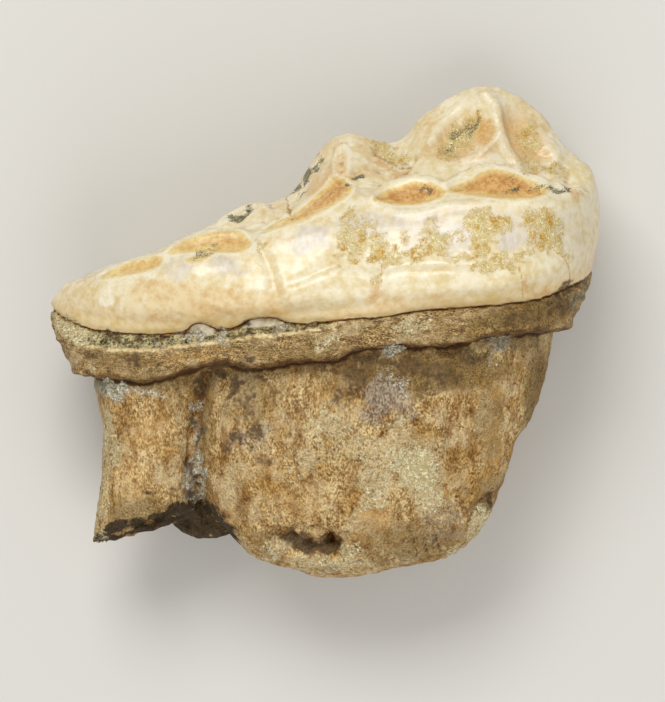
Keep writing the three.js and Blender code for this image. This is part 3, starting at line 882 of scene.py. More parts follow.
        # Partly the thinner enamel at the neck, partly painted shade: the enamel darker towards its lower
        # edge, which turns away from the light.
        coat.tint("#F3E5CB", enamel, coat.where(Mark.ENAMEL_RISE, 2.2, 0.3, 0.3, 2.5))
        at_edge = coat.where(Mark.ENAMEL_RISE, -0.16, -0.05, 0.06)
        coat.tint("#7A6038", at_edge, coat.where(Mark.ENAMEL_RISE, 0.02, -0.04, 0.05), 0.9)

    def dress_cracks(self, coat: Coat) -> None:
        """Stains the hair cracks, and paints shade into whatever lies deep in furrows and hollows.

        Args:
            coat: the tooth's coat so far.
        """
        coat.tint("#E0BE88", coat.where(Mark.CRACK, 0.12, 0.02, 0.02))
        # Painted shade: darker where the surface lies sunk below its close surroundings.
        coat.tint("#C09C68", coat.where(Mark.DIP_SHADE, 0.03, 0.15))
        # Painted shade: a faint darkening over broad hollows.
        coat.tint("#E2CDA6", coat.where(Mark.SWALE_SHADE, 0.15, 0.9))


@dataclass(frozen=True)
class Neck:
    """The brown ledge round the neck, and the gap of sediment between it and the enamel."""

    head: Line = Line((
        (-22.7, 1.7), (-22.2, 0.3), (-21.2, -1.0), (-20.2, -1.2), (-18.5, -1.6), (-16.6, -1.7),
        (-13.7, -1.6), (-11.6, -1.3), (-9.4, -1.1), (-7.3, -0.7), (-5.2, -0.5), (-3.0, -0.3),
        (-1.4, -0.1), (0.3, 0.3), (1.5, 0.7), (2.2, 0.85), (4.6, 0.9), (8.3, 1.5), (12.9, 1.8),
        (16.3, 2.2), (20.1, 3.4), (22.8, 4.8),
    ))
    foot: Line = Line((
        (-22.8, -3.9), (-20.4, -3.9), (-18.7, -4.0), (-16.8, -4.2),
        (-15.1, -4.3), (-13.7, -4.3), (-12.3, -3.7), (-10.9, -3.3), (-9.4, -2.9), (-8.7, -2.6),
        (-7.3, -3.0), (-5.9, -3.3), (-3.8, -2.9), (-2.2, -2.7), (-0.6, -2.8), (0.7, -2.6),
        (1.8, -2.0), (3.0, -1.6), (4.1, -1.4), (6.5, -1.4), (11.3, -1.3), (12.5, -0.9),
        (14.4, -0.5), (18.8, -0.2), (22.8, 0.2),
    ))
    foot_cheek: Line = Line((
        (-22.8, -2.7), (-19.6, -2.6), (-15.0, -2.4), (-9.9, -1.7), (-2.3, -1.0),
        (3.7, -0.4), (9.7, 0.2), (15.6, 1.0), (19.5, 1.4), (22.8, 1.8),
    ))
    gap_depth: float = 0.16
    lip_height: float = 0.2
    bulge: float = 0.22
    lump_height: float = 0.12
    streak_height: float = 0.16
    grain_height: float = 0.07
    foot_height: float = 0.2
    undercut: float = 0.3

    def rise(self, skin: Surface) -> np.ndarray:
        """How far each point lies above the ledge's foot, in millimetres."""
        return skin.above(self.foot, self.foot_cheek) + 0.3 * grain(skin.points, 2.0, 3, 13.0)

    def gap(self, skin: Surface, crown: Crown) -> np.ndarray:
        """Measures how far inside the gap, between the enamel's edge and the ledge, the points lie.

        Args:
            skin: the tooth's skin.
            crown: the crown over the gap.

        Returns:
            The depth of each point, less than 0 outside the gap.
        """
        over_ledge = self.head.above(skin.seen)
        under_enamel = -crown.edge.above(skin.seen)
        return np.where(skin.upward > 0.3, np.minimum(over_ledge, under_enamel), -NOWHERE)

    def lip(self, skin: Surface) -> np.ndarray:
        """How closely each point follows the ledge's upper rim, where the gap is open above it."""
        over_head = self.head.above(skin.seen)
        return hump(over_head + 0.08, 0.22) * ease(2.4, 0.5, skin.seen[:, 0]) * skin.upward

    def sculpt(self, skin: Surface, crown: Crown) -> None:
        """Sinks the gap, rounds the ledge and cuts in under its foot.

        Args:
            skin: the skin to carve.
            crown: the crown over the ledge.
        """
        gap = self.gap(skin, crown)
        rise = self.rise(skin)
        lumps = grain(skin.points, 1.1, 3, 11.0)
        amount = -self.gap_depth * ease(-0.05, 0.35, gap) * (1.0 - 0.5 * lumps)
        amount += self.lip_height * self.lip(skin)
        on_ledge = ease(-0.1, 0.6, rise) * ease(0.1, -0.7, crown.rise(skin))
        streaks = self.streak_height * grain(skin.points, 1.6, 3, 19.0, along=0.35)
        fine = self.grain_height * grain(skin.points, 0.5, 2, 3.0)
        amount += on_ledge * (self.bulge + self.lump_height * lumps + streaks + fine)
        amount += self.foot_height * hump(rise - 0.5, 0.38) - 0.08 * hump(rise - 1.3, 0.5) * on_ledge
        cut = np.where(rise < -0.3, hump(rise + 0.3, 0.8), hump(rise + 0.3, 0.25))
        amount -= self.undercut * cut * (0.8 + 0.35 * grain(skin.points, 2.5, 2, 8.0))
        skin.push(amount)

    def mark(self, skin: Surface, crown: Crown) -> None:
        """Notes where the ledge and the gap are.

        Args:
            skin: the skin to mark.
            crown: the crown over the ledge.
        """
        skin.marks[Mark.LEDGE_RISE] = self.rise(skin)
        skin.marks[Mark.GAP] = self.gap(skin, crown)
        skin.marks[Mark.LIP] = self.lip(skin)

    def dress(self, coat: Coat) -> None:
        """Lays the ledge, painted darker towards its foot as shade, the clay in the gap and the pale rim
        between them, which is partly a painted highlight.

        Args:
            coat: the tooth's coat so far.
        """
        ledge = coat.where(Mark.LEDGE_RISE, -0.1, 0.25, 0.08)
        coat.lay(LEDGE, ledge)
        coat.lay(ROOT_DUST, ledge, coat.clouds(1.6, 0.3), 0.6)
        # Umber patches on the ledge: humus and painted shade in one mark.
        coat.lay(ROOT_UMBER_AND_SHADE, ledge, coat.where(Mark.UMBER_AND_SHADE, 0.0, 0.9, 0.2), 0.85)
        coat.lay(OCHRE_WASH, ledge, coat.where(Mark.OCHRE, 0.1, 1.0, 0.2), 0.4)
        # Painted shade: the ledge darker towards its foot, on the side turned away from the light.
        coat.tint("#B08C58", ledge, coat.where(Mark.LEDGE_RISE, 0.45, 0.05, 0.1))
        coat.lay(SEDIMENT, coat.where(Mark.GAP, -0.08, 0.1, 0.06))
        # The pale upper rim: partly rubbed, partly a painted highlight.
        coat.lay(RUBBED_AND_HIGHLIT_RIM, coat.where(Mark.LIP, 0.3, 0.9, 0.15, 0.3), 0.85)


@dataclass(frozen=True)
class Roots:
    """The fused roots: flutes, the groove between two of them, the pits and the broken end."""

    groove: Line = Line((
        (-10.2, -3.9), (-10.5, -4.9), (-10.7, -5.9), (-10.9, -7.9), (-11.1, -10.0), (-11.3, -11.7),
        (-10.7, -14.0),
    ))
    furrows: tuple[tuple[Line, float, float], ...] = (
        (Line(((-10.9, -8.4), (-11.2, -9.4), (-11.1, -11.3), (-11.6, -11.8))), 0.22, 0.3),
        (Line(((4.4, -8.9), (5.0, -8.4), (5.6, -8.2), (6.7, -7.9), (7.5, -7.6))), 0.3, 0.32),
        (Line(((10.0, -5.2), (10.1, -6.6), (10.3, -8.8), (10.0, -10.2))), 0.4, 0.25),
        (Line(((12.2, -4.8), (12.1, -8.0), (11.6, -12.0))), 0.6, 0.2),
        (Line(((7.3, -17.4), (7.5, -18.4))), 0.2, 0.3),
        (Line(((8.1, -17.4), (8.3, -18.4))), 0.2, 0.3),
        (Line(((9.1, -17.0), (9.3, -18.2))), 0.2, 0.25),
        (Line(((12.4, -14.6), (13.3, -14.2), (14.2, -13.4))), 0.4, 0.35),
    )
    pits: tuple[Spot, ...] = spots(
        (0.4, -17.5, 0.7, 0.55, 1.2), (-3.1, -16.9, 0.4, 0.35, 0.6, 20), (-1.9, -17.8, 0.9, 0.25, 0.4, -22),
        (13.4, -14.0, 0.6, 0.5, 0.5, 40),
    )
    pads: tuple[Spot, ...] = spots(
        (5.9, -11.2, 2.6, 3.4, 0.16), (8.8, -9.6, 1.5, 2.4, 0.14), (-4.4, -17.6, 1.2, 0.8, 0.15, -20),
        (-17.7, -4.9, 1.8, 0.7, 0.14, -12),
    )
    bay: Line = Line((
        (-5.8, -16.8), (-4.4, -16.5), (-3.3, -16.6), (-2.8, -17.0), (-1.5, -17.6), (-0.3, -17.7),
        (0.4, -17.1), (1.3, -17.6),
    ))
    notch: Spot = Spot(-9.6, -16.0, 3.6, 2.3)
    groove_depth: float = 0.3
    bay_depth: float = 0.9
    flute_size: float = 4.5
    flute_height: float = 0.38
    lump_height: float = 0.14
    pore_height: float = 0.11
    splinter_height: float = 0.35

    def sculpt(self, skin: Surface, neck: Neck) -> None:
        """Raises the flutes and crusted pads, and sinks the groove, the pits and the bay.

        Args:
            skin: the skin to carve.
            neck: the neck that the roots hang from.
        """
        below = ease(-0.3, -1.4, neck.rise(skin))
        amount = -self.groove_depth * hump(self.groove.away(skin.seen), 0.6)
        for line, width, depth in self.furrows:
            amount -= depth * hump(line.away(skin.seen), width)
        for pit in self.pits:
            amount -= pit.cover(skin.seen) * (0.8 + 0.8 * grain(skin.points, 0.7, 3, 37.0))
        rugged = skin.seen + 0.35 * grain(skin.points, 0.9, 3, 39.0)[:, None]
        under = -self.bay.above(rugged)
        across = ease(-6.0, -4.6, skin.seen[:, 0]) * ease(1.8, 0.8, skin.seen[:, 0])
        amount -= self.bay_depth * across * ease(-0.1, 0.2, under) * ease(1.9, 0.5, under)
        for pad in self.pads:
            amount += pad.cover(skin.seen)
        amount *= skin.upward
        amount += self.flute_height * grain(skin.points, self.flute_size, 2, 17.0, along=3.0)
        amount += self.lump_height * grain(skin.points, 1.5, 3, 23.0, along=2.0)
        amount += self.pore_height * grain(skin.points, 0.55, 2, 29.0, along=1.6)
        skin.push(amount * below)

    def broken(self, skin: Surface) -> np.ndarray:
        """Finds the heel root's broken end.

        Args:
            skin: the tooth's skin.

        Returns:
            How far each point belongs to it, from 0 to 1.
        """
        downward = ease(0.15, 0.4, -skin.averaged(skin.normals[:, 1], 5))
        beside_heel = ease(-9.9, -10.8, skin.points[:, 0]) * ease(5.0, 6.5, skin.points[:, 2])
        return downward * beside_heel * ease(-12.5, -14.0, skin.points[:, 1])

    def splinter(self, skin: Surface) -> None:
        """Splinters the broken end of the heel root.

        Args:
            skin: the skin to carve.
        """
        broken = skin.averaged(self.broken(skin), 4)
        chips = grain(skin.points, 1.4, 3, 41.0) + 0.2 * grain(skin.points, 0.7, 2, 43.0)
        skin.push(broken * (self.splinter_height * chips - 0.15))
        skin.soften(ease(0.02, 0.3, broken), 3)

    def mark(self, skin: Surface) -> None:
        """Notes the broken end, and the notch under the groove beside it, where shade is painted dark."""
        # The notch is darkened only as painted shade.
        notch_shade = self.notch.cover(skin.seen) * ease(14.5, 12.0, skin.points[:, 2])
        skin.marks[Mark.BREAK_AND_SHADE] = np.maximum(self.broken(skin), notch_shade)

    def dress(self, coat: Coat) -> None:
        """Lays the roots' cementum with its clouds, dust, streaks, specks and washes, and paints shade
        under the ledge.

        Args:
            coat: the tooth's coat, still empty.
        """
        coat.lay(CEMENTUM)
        coat.lay(ROOT_TAN, coat.clouds(3.5, 0.5), 0.8)
        coat.lay(ROOT_DUST, coat.clouds(2.2, 0.4), 0.7)
        coat.tint("#BFA068", coat.spread(coat.grains(0.9, BROAD, 6.0), 0.48, 0.66), 0.7)
        coat.tint("#8A6430", coat.clouds(0.4, 0.1, 2.0), 0.7)
        coat.lay(OCHRE_WASH, coat.where(Mark.OCHRE, 0.0, 1.1, 0.15, 0.5), 0.6)
        # Umber patches: olive-brown humus, partly painted shade.
        coat.lay(ROOT_UMBER_AND_SHADE, coat.where(Mark.UMBER_AND_SHADE, 0.0, 1.0, 0.2, 0.6), 0.85)
        coat.lay(VIOLET_BLOOM, coat.stained(Mark.VIOLET, 0.0, 0.9, 0.35, 0.3), 0.85)
        # Painted shade: a darker band on the roots under the ledge.
        coat.lay(ROOT_UMBER_AND_SHADE, coat.where(Mark.LEDGE_RISE, -1.8, -0.2, 0.6), 0.55)
        # Painted shadow: a thin dark line right under the ledge's foot.
        coat.tint("#7E6238", coat.where(Mark.LEDGE_RISE, -0.5, -0.2, 0.12))

    def dress_breaks(self, coat: Coat) -> None:
        """Lays the dirty inner dentine of the broken end, darkened as painted shade, and paints shade into
        the notch.
        """
        coat.lay(BROKEN_DENTINE_AND_SHADE, coat.stained(Mark.BREAK_AND_SHADE, 0.15, 0.8, 0.5, 0.9), 0.92)


@dataclass(frozen=True)
class Weathering:
    """What the ground left on the tooth: crusts, deposits and stains, each as patches. Some patches paint
    light as well: shade in the umber, highlights in the white and reflections in the glassy enamel.
    """

    crust: tuple[Spot, ...] = spots(
        (2.1, 7.3, 1.2, 1.3, 0.75), (4.4, 6.5, 1.2, 1.2), (3.3, 8.5, 0.74, 0.66, 0.5),
        (1.8, 9.7, 0.66, 0.74, 0.5), (4.8, 5.5, 0.83, 0.5, 0.8), (8.8, 7.1, 1.2, 1.4, 0.8),
        (8.3, 8.3, 0.58, 0.58, 0.6), (13.4, 8.6, 1.8, 1.2, 0.95), (12.5, 6.9, 0.99, 1.2, 0.8),
        (13.7, 5.5, 1.5, 0.5, 0.9), (13.2, 4.9, 1.2, 0.41, 0.6), (17.7, 8.6, 1.7, 1.2, 0.95, -10),
        (18.6, 7.0, 1.5, 0.83, 0.95, -20), (16.4, 6.9, 0.66, 0.66, 0.5), (6.9, 5.9, 2.3, 0.33, 0.8),
        (10.4, 5.9, 2.0, 0.33, 0.8), (15.2, 6.0, 1.7, 0.33, 0.8, 5), (16.7, 6.3, 0.74, 0.33),
        (1.5, 5.7, 1.2, 0.33, 0.6, -8), (16.9, 15.8, 0.8, 1.3, 0.75), (18.7, 13.3, 1.5, 0.41, 0.9, -8),
        (16.8, 13.6, 0.99, 0.41, 0.6), (10.9, 15.6, 2.0, 1.1, 0.95, 50), (12.0, 17.0, 1.0, 0.7, 0.9, 50),
        (4.0, 4.0, 0.5, 0.66, 0.75), (5.4, 14.5, 1.4, 0.6, 0.95, -15), (-5.3, 6.9, 0.41, 0.58, 0.5),
        (11.0, 7.7, 0.66, 0.5, 0.35), (6.3, 7.7, 0.5, 0.66, 0.45),
    )
    # Among these, the two long thin patches along the heel's crest lip are painted highlights.
    white: tuple[Spot, ...] = spots(
        (-17.9, 2.6, 0.58, 0.99), (-18.1, 3.6, 0.5, 0.33, 0.6), (-15.1, 2.1, 0.41, 0.66, 0.5, -30),
        (-15.8, 4.3, 2.0, 0.33, 0.8, 8), (-5.3, 5.5, 0.74, 1.8, 0.3, 12), (1.9, 10.7, 0.58, 0.58, 0.8),
        (16.7, 6.4, 0.74, 0.33, 0.7), (6.1, 4.5, 1.2, 0.41, 0.5, -20), (-4.8, 4.9, 0.41, 1.5, 0.35, 10),
        (-5.8, 7.0, 0.58, 0.58, 0.7), (-15.4, 4.4, 2.1, 0.33, 0.8, 10),
    )
    tan: tuple[Spot, ...] = spots(
        (-20.0, 2.8, 2.1, 2.0, 0.45), (-12.9, 2.4, 4.1, 1.8, 0.8), (-16.2, 1.6, 3.3, 1.2, 0.6),
        (-8.8, 2.3, 3.4, 1.5), (-4.3, 2.4, 0.99, 1.7, 0.8), (-2.2, 2.2, 2.1, 1.2, 0.45),
        (5.3, 2.6, 1.8, 0.99, 0.5), (10.2, 2.2, 2.5, 0.74, 0.4), (17.6, 18.5, 1.8, 1.8, 0.6, -40),
        (8.6, 17.3, 1.2, 1.8, 0.55, -50), (21.9, 6.9, 0.74, 3.7, 0.4), (0.3, 14.8, 0.83, 1.7, 0.6, -35),
        (9.2, 15.4, 1.0, 2.3, 0.7, -45), (3.6, 15.0, 1.6, 0.9, 0.7, -25), (17.2, 17.0, 1.4, 2.0, 0.6, -40),
        (3.0, 12.9, 1.6, 0.8, 0.7),
    )
    # Polished facets; much of their greyish white is a painted reflection of the light.
    glass: tuple[Spot, ...] = spots(
        (-1.5, 7.3, 1.8, 1.3, 0.9, 20), (7.3, 8.8, 2.3, 0.99, 0.7), (11.2, 8.0, 0.74, 1.4, 0.95),
        (14.9, 7.2, 0.58, 1.1, 0.95), (6.5, 7.3, 0.74, 1.2, 0.7), (-11.9, 4.9, 1.5, 0.74, 0.7),
        (-8.3, 5.2, 1.7, 0.66, 0.8), (10.2, 9.7, 5.0, 0.5, 0.55, 2), (19.3, 9.4, 1.2, 0.83, 0.4),
        (20.5, 7.3, 0.83, 1.7, 0.4), (1.5, 6.9, 0.83, 0.83, 0.4), (3.2, 8.6, 2.6, 1.3, 0.75),
        (9.6, 7.6, 3.0, 1.7, 0.7), (16.4, 8.2, 3.6, 1.6, 0.7, -4),
    )
    ochre: tuple[Spot, ...] = spots(
        (13.3, 15.6, 0.9, 1.4), (10.4, 14.5, 1.4, 0.7, 0.95, 15), (12.5, 14.4, 1.2, 0.41, 0.88, 25),
        (15.3, 17.3, 1.2, 1.5, 0.62, -30), (16.4, 15.1, 2.3, 2.1, 0.55, -20),
        (1.5, 12.3, 1.2, 0.83, 0.62, 40), (5.0, 13.5, 1.1, 0.33, 1.0, -28),
        (-0.4, 12.0, 1.0, 2.3, 0.85, -38), (-0.7, 10.3, 1.3, 0.5, 0.88, 40), (4.2, 3.1, 0.66, 1.2, 0.88),
        (4.5, 1.9, 0.5, 0.66, 0.6), (17.5, 3.2, 0.83, 0.5, 0.75), (16.2, 3.8, 0.17, 1.1, 0.88),
        (20.4, 11.1, 0.66, 0.5, 0.88, -20), (-5.1, 9.7, 0.99, 0.41, 0.62), (-4.0, 10.0, 0.66, 0.58, 0.38),
        (-3.6, 7.5, 0.5, 0.5, 0.5), (13.9, -5.6, 0.83, 1.2, 0.9), (13.8, -9.8, 0.91, 2.6, 0.7, -6),
        (4.2, -15.8, 1.3, 1.8, 0.6), (-2.2, -14.1, 2.5, 2.5, 0.35), (-14.6, -8.4, 1.7, 2.1, 0.5),
        (-16.2, -12.1, 2.1, 2.1, 0.4), (-4.7, -12.5, 2.1, 2.5, 0.35), (-8.4, -15.8, 1.3, 1.2, 0.5, -45),
        (15.3, -3.6, 1.3, 0.99, 0.4), (-11.3, -2.4, 3.3, 0.66, 0.6, 3), (-17.9, -3.5, 1.5, 0.41, 0.5),
        (-0.5, -5.5, 1.2, 0.83, 0.4), (16.8, 14.8, 1.3, 0.99, 0.7, -40), (-0.4, 11.9, 0.83, 1.3, 0.6, -39),
        (11.9, 14.0, 1.8, 0.25, 0.6, 8), (6.4, 12.7, 1.3, 0.41, 0.7, -10), (1.25, 13.9, 0.45, 0.85, 0.8),
    )
    dark: tuple[Spot, ...] = spots(
        (-19.4, -2.3, 0.74, 0.5, 0.6), (-16.1, -2.6, 0.74, 0.5, 0.7), (-13.7, -2.8, 0.41, 0.41, 0.5),
        (-14.6, -3.6, 1.7, 0.25, 0.5), (-8.8, -3.1, 0.83, 0.66), (-6.3, -3.2, 0.74, 0.33),
        (-7.5, -4.6, 0.58, 0.99, 1.0, -10), (-5.3, -4.1, 0.58, 0.41, 0.9), (-10.5, -4.8, 0.58, 0.74, 0.8),
        (-10.0, -3.6, 0.66, 0.41, 0.8), (-6.6, -5.9, 0.41, 0.83, 0.6), (-5.9, -8.5, 0.66, 1.5, 0.8, -15),
        (-7.8, -9.2, 0.83, 0.66, 0.6), (-5.3, -10.7, 0.58, 0.5, 0.6), (-6.9, -7.1, 0.5, 0.66, 0.6),
        (-4.3, -5.2, 0.66, 0.58, 0.5), (-2.2, -6.3, 0.83, 0.66, 0.35), (0.3, -3.1, 1.8, 0.41, 0.6, 3),
        (3.2, -2.4, 1.7, 0.66, 0.8, 5), (2.4, -4.1, 1.2, 1.2, 0.7), (6.1, -3.0, 2.5, 0.66, 0.7),
        (1.5, -5.5, 0.83, 0.83, 0.6), (9.4, -3.6, 2.1, 0.83, 0.6), (11.9, -2.3, 1.3, 0.83, 0.7),
        (8.4, -5.2, 0.83, 0.66, 0.5), (10.6, -4.6, 0.66, 0.83, 0.4), (14.8, -1.3, 1.7, 0.5, 0.5),
        (16.0, 0.9, 2.0, 0.66, 0.5, 10), (19.3, 2.0, 1.3, 0.83, 0.7, 25), (-17.6, -0.7, 0.74, 0.5, 0.8),
        (-15.6, -0.8, 0.66, 0.33, 0.8), (-13.3, -0.7, 1.2, 0.25, 0.9), (-6.4, -0.2, 0.66, 0.25),
        (-1.2, 0.3, 0.74, 0.25, 0.9), (4.1, 0.6, 0.41, 0.25), (-4.3, -0.1, 0.66, 0.25, 0.5),
        (19.8, 3.4, 0.74, 0.5, 0.8, 20), (20.3, 3.8, 0.33, 0.5, 0.6), (-3.1, -17.0, 0.7, 0.55, 1.2),
        (0.3, -17.5, 1.0, 0.7, 1.4), (-1.4, -17.8, 1.9, 0.55, 1.2, -12), (13.3, -14.0, 0.5, 0.66, 0.9, 30),
        (7.3, -17.9, 0.12, 0.74, 0.8), (8.1, -17.9, 0.12, 0.66, 0.7), (9.1, -17.6, 0.12, 0.66, 0.7),
        (9.6, -8.9, 0.17, 1.3, 0.6, 5), (5.7, -7.9, 0.99, 0.25, 0.6, 15), (6.1, -19.3, 2.1, 0.58, 0.3),
        (-18.4, -5.2, 0.33, 0.66, 0.5), (-10.7, -8.5, 0.33, 1.5, 0.8, 4), (-11.0, -11.2, 0.33, 1.3, 0.9, 8),
        (-11.3, -13.5, 0.74, 0.58, 0.8), (5.7, 14.1, 1.2, 0.41, 0.3, -20), (6.4, 13.7, 0.25, 0.58, 0.4, 20),
        (-16.4, -1.1, 1.2, 0.33, 0.6), (-11.7, -0.7, 0.66, 0.25, 0.6), (-9.2, -0.6, 0.5, 0.25, 0.5),
        (-7.1, -0.3, 0.58, 0.25, 0.7),
    )
    black: tuple[Spot, ...] = spots(
        (7.8, 11.2, 0.42, 0.24), (8.4, 11.3, 0.3, 0.15, 0.8), (15.6, 12.5, 0.25, 0.25, 1.1),
        (15.6, 11.6, 0.28, 0.24, 1.1), (18.1, 11.7, 1.3, 0.17, 0.9, -4), (19.5, 11.5, 0.99, 0.25, 0.9, -10),
        (15.0, 11.3, 0.33, 0.12, 0.8), (2.4, 12.3, 0.38, 0.34, 1.2), (-9.1, 6.9, 0.66, 0.25, 0.5, 5),
        (-10.1, 6.2, 0.99, 0.25, 0.6, 12), (21.0, 2.6, 0.41, 1.2, 1.0, -25),
        (12.2, 17.1, 0.66, 0.33, 0.7, 40), (10.6, 16.0, 0.66, 0.33, 0.5, 50),
        (10.2, 14.8, 0.66, 0.25, 0.4, 20), (-1.7, 12.4, 0.33, 1.8, 1.0, -39),
        (-7.1, 9.4, 1.2, 0.41, 1.0, 30), (-0.7, 13.8, 0.33, 0.58, 0.8, -30),
        (11.2, 15.9, 1.2, 0.45, 0.55, 50),
    )
    grey: tuple[Spot, ...] = spots(
        (-17.6, -5.0, 1.7, 0.66, 0.95, -8), (-14.7, -5.3, 1.2, 0.5, 0.7, -25),
        (-13.8, -5.9, 0.5, 0.41, 0.5), (-10.8, -8.4, 0.41, 0.83, 0.7), (-10.6, -6.3, 0.41, 0.5, 0.6),
        (-10.9, -12.5, 0.99, 1.5, 0.9), (-10.5, -10.4, 0.5, 0.99, 0.7), (-11.3, -13.9, 0.66, 0.5, 0.6),
        (5.3, -1.6, 0.91, 0.41, 1.0, -10), (14.6, -1.3, 1.3, 0.74, 0.6), (13.5, -2.6, 0.5, 0.5, 0.5),
        (5.5, -4.2, 1.2, 0.66, 0.35), (6.5, -5.0, 0.83, 0.83, 0.3), (-11.1, -0.7, 1.2, 0.41, 0.9, 4),
        (-8.6, -0.6, 0.66, 0.25, 0.8), (-3.6, -0.1, 1.2, 0.25, 0.7, 6), (-14.2, -1.3, 1.7, 0.25, 0.5),
    )
    pale: tuple[Spot, ...] = spots(
        (7.7, -11.5, 1.7, 2.1, 0.95), (6.1, -10.8, 1.2, 1.5, 0.7), (4.0, -10.8, 2.0, 2.1, 0.4),
        (8.6, -14.1, 1.3, 1.2, 0.5), (3.8, -13.7, 0.99, 1.5, 0.6), (2.5, -10.5, 0.5, 0.5, 0.8),
        (6.1, -8.2, 1.2, 0.41, 0.6, 10), (0.3, -19.3, 3.7, 0.66, 0.6), (-3.0, -17.4, 1.2, 0.5, 0.6),
        (-4.7, -18.4, 0.83, 0.66, 0.5, -40), (1.9, -18.5, 1.2, 0.58, 0.6),
        (12.7, -16.0, 0.66, 1.7, 0.9, -40), (10.4, -18.3, 0.99, 0.5, 0.6, 30),
        (-17.2, -10.0, 0.66, 1.2, 0.4), (-20.8, -0.1, 1.7, 0.74, 0.9, -28), (-22.0, 0.9, 0.5, 0.66, 0.8),
        (-0.1, -0.9, 1.3, 0.58, 0.5), (7.2, 0.3, 1.7, 0.58, 0.6, 5), (-19.4, -3.1, 0.5, 0.25, 0.5),
        (0.3, -8.4, 2.5, 2.5, 0.3), (-2.2, -11.7, 1.7, 2.0, 0.25), (-18.2, -9.2, 0.91, 3.1, 0.5),
        (-18.6, -14.6, 0.5, 3.3, 0.45),
    )
    # Umber patches: olive-brown humus, and painted shade under the ledge, down the right edge and along the
    # roots' lower end.
    umber_and_shade: tuple[Spot, ...] = spots(
        (8.6, -3.6, 7.9, 1.7, 0.9, 2), (17.8, -6.3, 1.7, 5.0, 0.8), (6.8, -17.6, 5.4, 1.9, 0.6, 4),
        (13.3, -14.1, 1.8, 2.5, 0.5, -30), (-6.3, -5.7, 3.3, 2.1, 0.5), (-14.6, -4.0, 4.1, 0.5, 0.5),
        (-10.2, -9.2, 0.99, 5.0, 0.55), (-14.8, -15.4, 3.6, 1.9, 0.65, 6), (0.3, -4.1, 2.5, 1.2, 0.5),
        (16.0, 0.7, 4.6, 1.6, 1.0, 12), (8.6, -0.1, 3.3, 0.83, 0.35, 5), (-2.2, -1.9, 5.0, 0.5, 0.5, 3),
        (-17.1, -2.6, 2.5, 0.99, 0.45), (1.5, -9.2, 1.2, 2.5, 0.3), (13.4, -7.4, 1.3, 4.6, 0.55, -4),
        (-12.1, -5.9, 1.2, 2.0, 0.4), (-5.5, -17.9, 1.5, 1.2, 0.5, -45),
    )
    violet: tuple[Spot, ...] = spots(
        (4.8, -5.5, 1.8, 1.5, 0.85), (3.8, -7.1, 0.99, 0.83, 0.6), (6.5, -6.7, 1.2, 0.83, 0.6),
        (-7.3, -9.2, 0.99, 0.74, 0.5), (9.4, -15.8, 2.0, 1.8, 0.35), (-5.3, -8.8, 0.58, 1.2, 0.5, -15),
        (0.3, -1.3, 1.7, 0.5, 0.4), (7.2, 0.2, 2.0, 0.66, 0.4),
    )
    ragged: float = 0.8
    crust_height: float = 0.08
    pale_height: float = 0.06
    grey_height: float = 0.1
    black_depth: float = 0.08
    faint: float = 0.6

    def patches(self, skin: Surface) -> dict[Mark, np.ndarray]:
        """Works out each kind of patch on the tongue side, with ragged edges.

        Args:
            skin: the tooth's skin.

        Returns:
            For each kind, how strongly it shows at each point.
        """
        wobble = [grain(skin.points, 1.3, 4, seed) for seed in (51.0, 53.0)]
        seen = skin.seen + self.ragged * np.stack(wobble, axis=1)
        kinds = {
            Mark.CRUST: self.crust, Mark.PALE: self.pale, Mark.GREY: self.grey, Mark.DARK: self.dark,
            Mark.BLACK: self.black, Mark.VIOLET: self.violet, Mark.OCHRE: self.ochre,
            Mark.WHITE_AND_HIGHLIGHT: self.white, Mark.TAN: self.tan, Mark.GLASS_AND_REFLECTION: self.glass, Mark.UMBER_AND_SHADE: self.umber_and_shade,
        }
        return {mark: covered(seen, kind) * skin.upward for mark, kind in kinds.items()}

    def sculpt(self, skin: Surface) -> None:
        """Raises the crusts in grains and eats the black stains in a little.

        Args:
            skin: the skin to carve.
        """
        patch = self.patches(skin)
        grains = 0.5 + grain(skin.points, 0.55, 2, 61.0)
        amount = ease(0.2, 0.8, patch[Mark.CRUST]) * (0.02 + self.crust_height * grains)
        amount += patch[Mark.PALE] * (0.02 + self.pale_height * grains)
        amount += patch[Mark.GREY] * (0.05 + self.grey_height * grains)
        amount -= self.black_depth * patch[Mark.BLACK]
        skin.push(amount)

    def mark(self, skin: Surface) -> None:
        """Notes the patches, and spreads fainter ones of the same kinds over the hidden sides.

        Args:
            skin: the skin to mark.
        """
        skin.marks.update(self.patches(skin))
        hidden = self.faint * (1.0 - skin.upward)
        for mark, size, seed in ((Mark.DARK, 3.0, 71.0), (Mark.OCHRE, 4.0, 73.0), (Mark.PALE, 3.5, 79.0)):
            spread = ease(0.12, 0.5, grain(skin.points, size, 3, seed))
            skin.marks[mark] = np.maximum(skin.marks[mark], spread * hidden)

    def dress(self, coat: Coat) -> None:
        """Lays the crusts and deposits, then the black manganese stains over them.

        Args:
            coat: the tooth's coat so far.
        """
        coat.lay(PALE_CRUST, coat.stained(Mark.PALE, 0.1, 0.9, 0.45, 0.3))
        coat.lay(GREY_DEPOSIT, coat.stained(Mark.GREY, 0.2, 0.7, 0.35, 0.3))
        coat.lay(DARK_STAIN, coat.stained(Mark.DARK, 0.05, 0.9, 0.35, 0.3), 0.9)
        coat.lay(CRUST_FILM, coat.stained(Mark.CRUST, 0.0, 0.8, 0.35, 0.6), 0.75)
        flakes = coat.overlap(coat.stained(Mark.CRUST, 0.1, 0.85, 0.6, 0.25), coat.clouds(0.6, 0.7, FINE))
        coat.lay(CRUST, flakes)
        coat.tint("#EACC94", flakes, coat.clouds(1.2, 0.3))
        coat.lay(BLACK_STAIN, coat.stained(Mark.BLACK, 0.2, 0.85, 0.55, 0.13), 0.95)


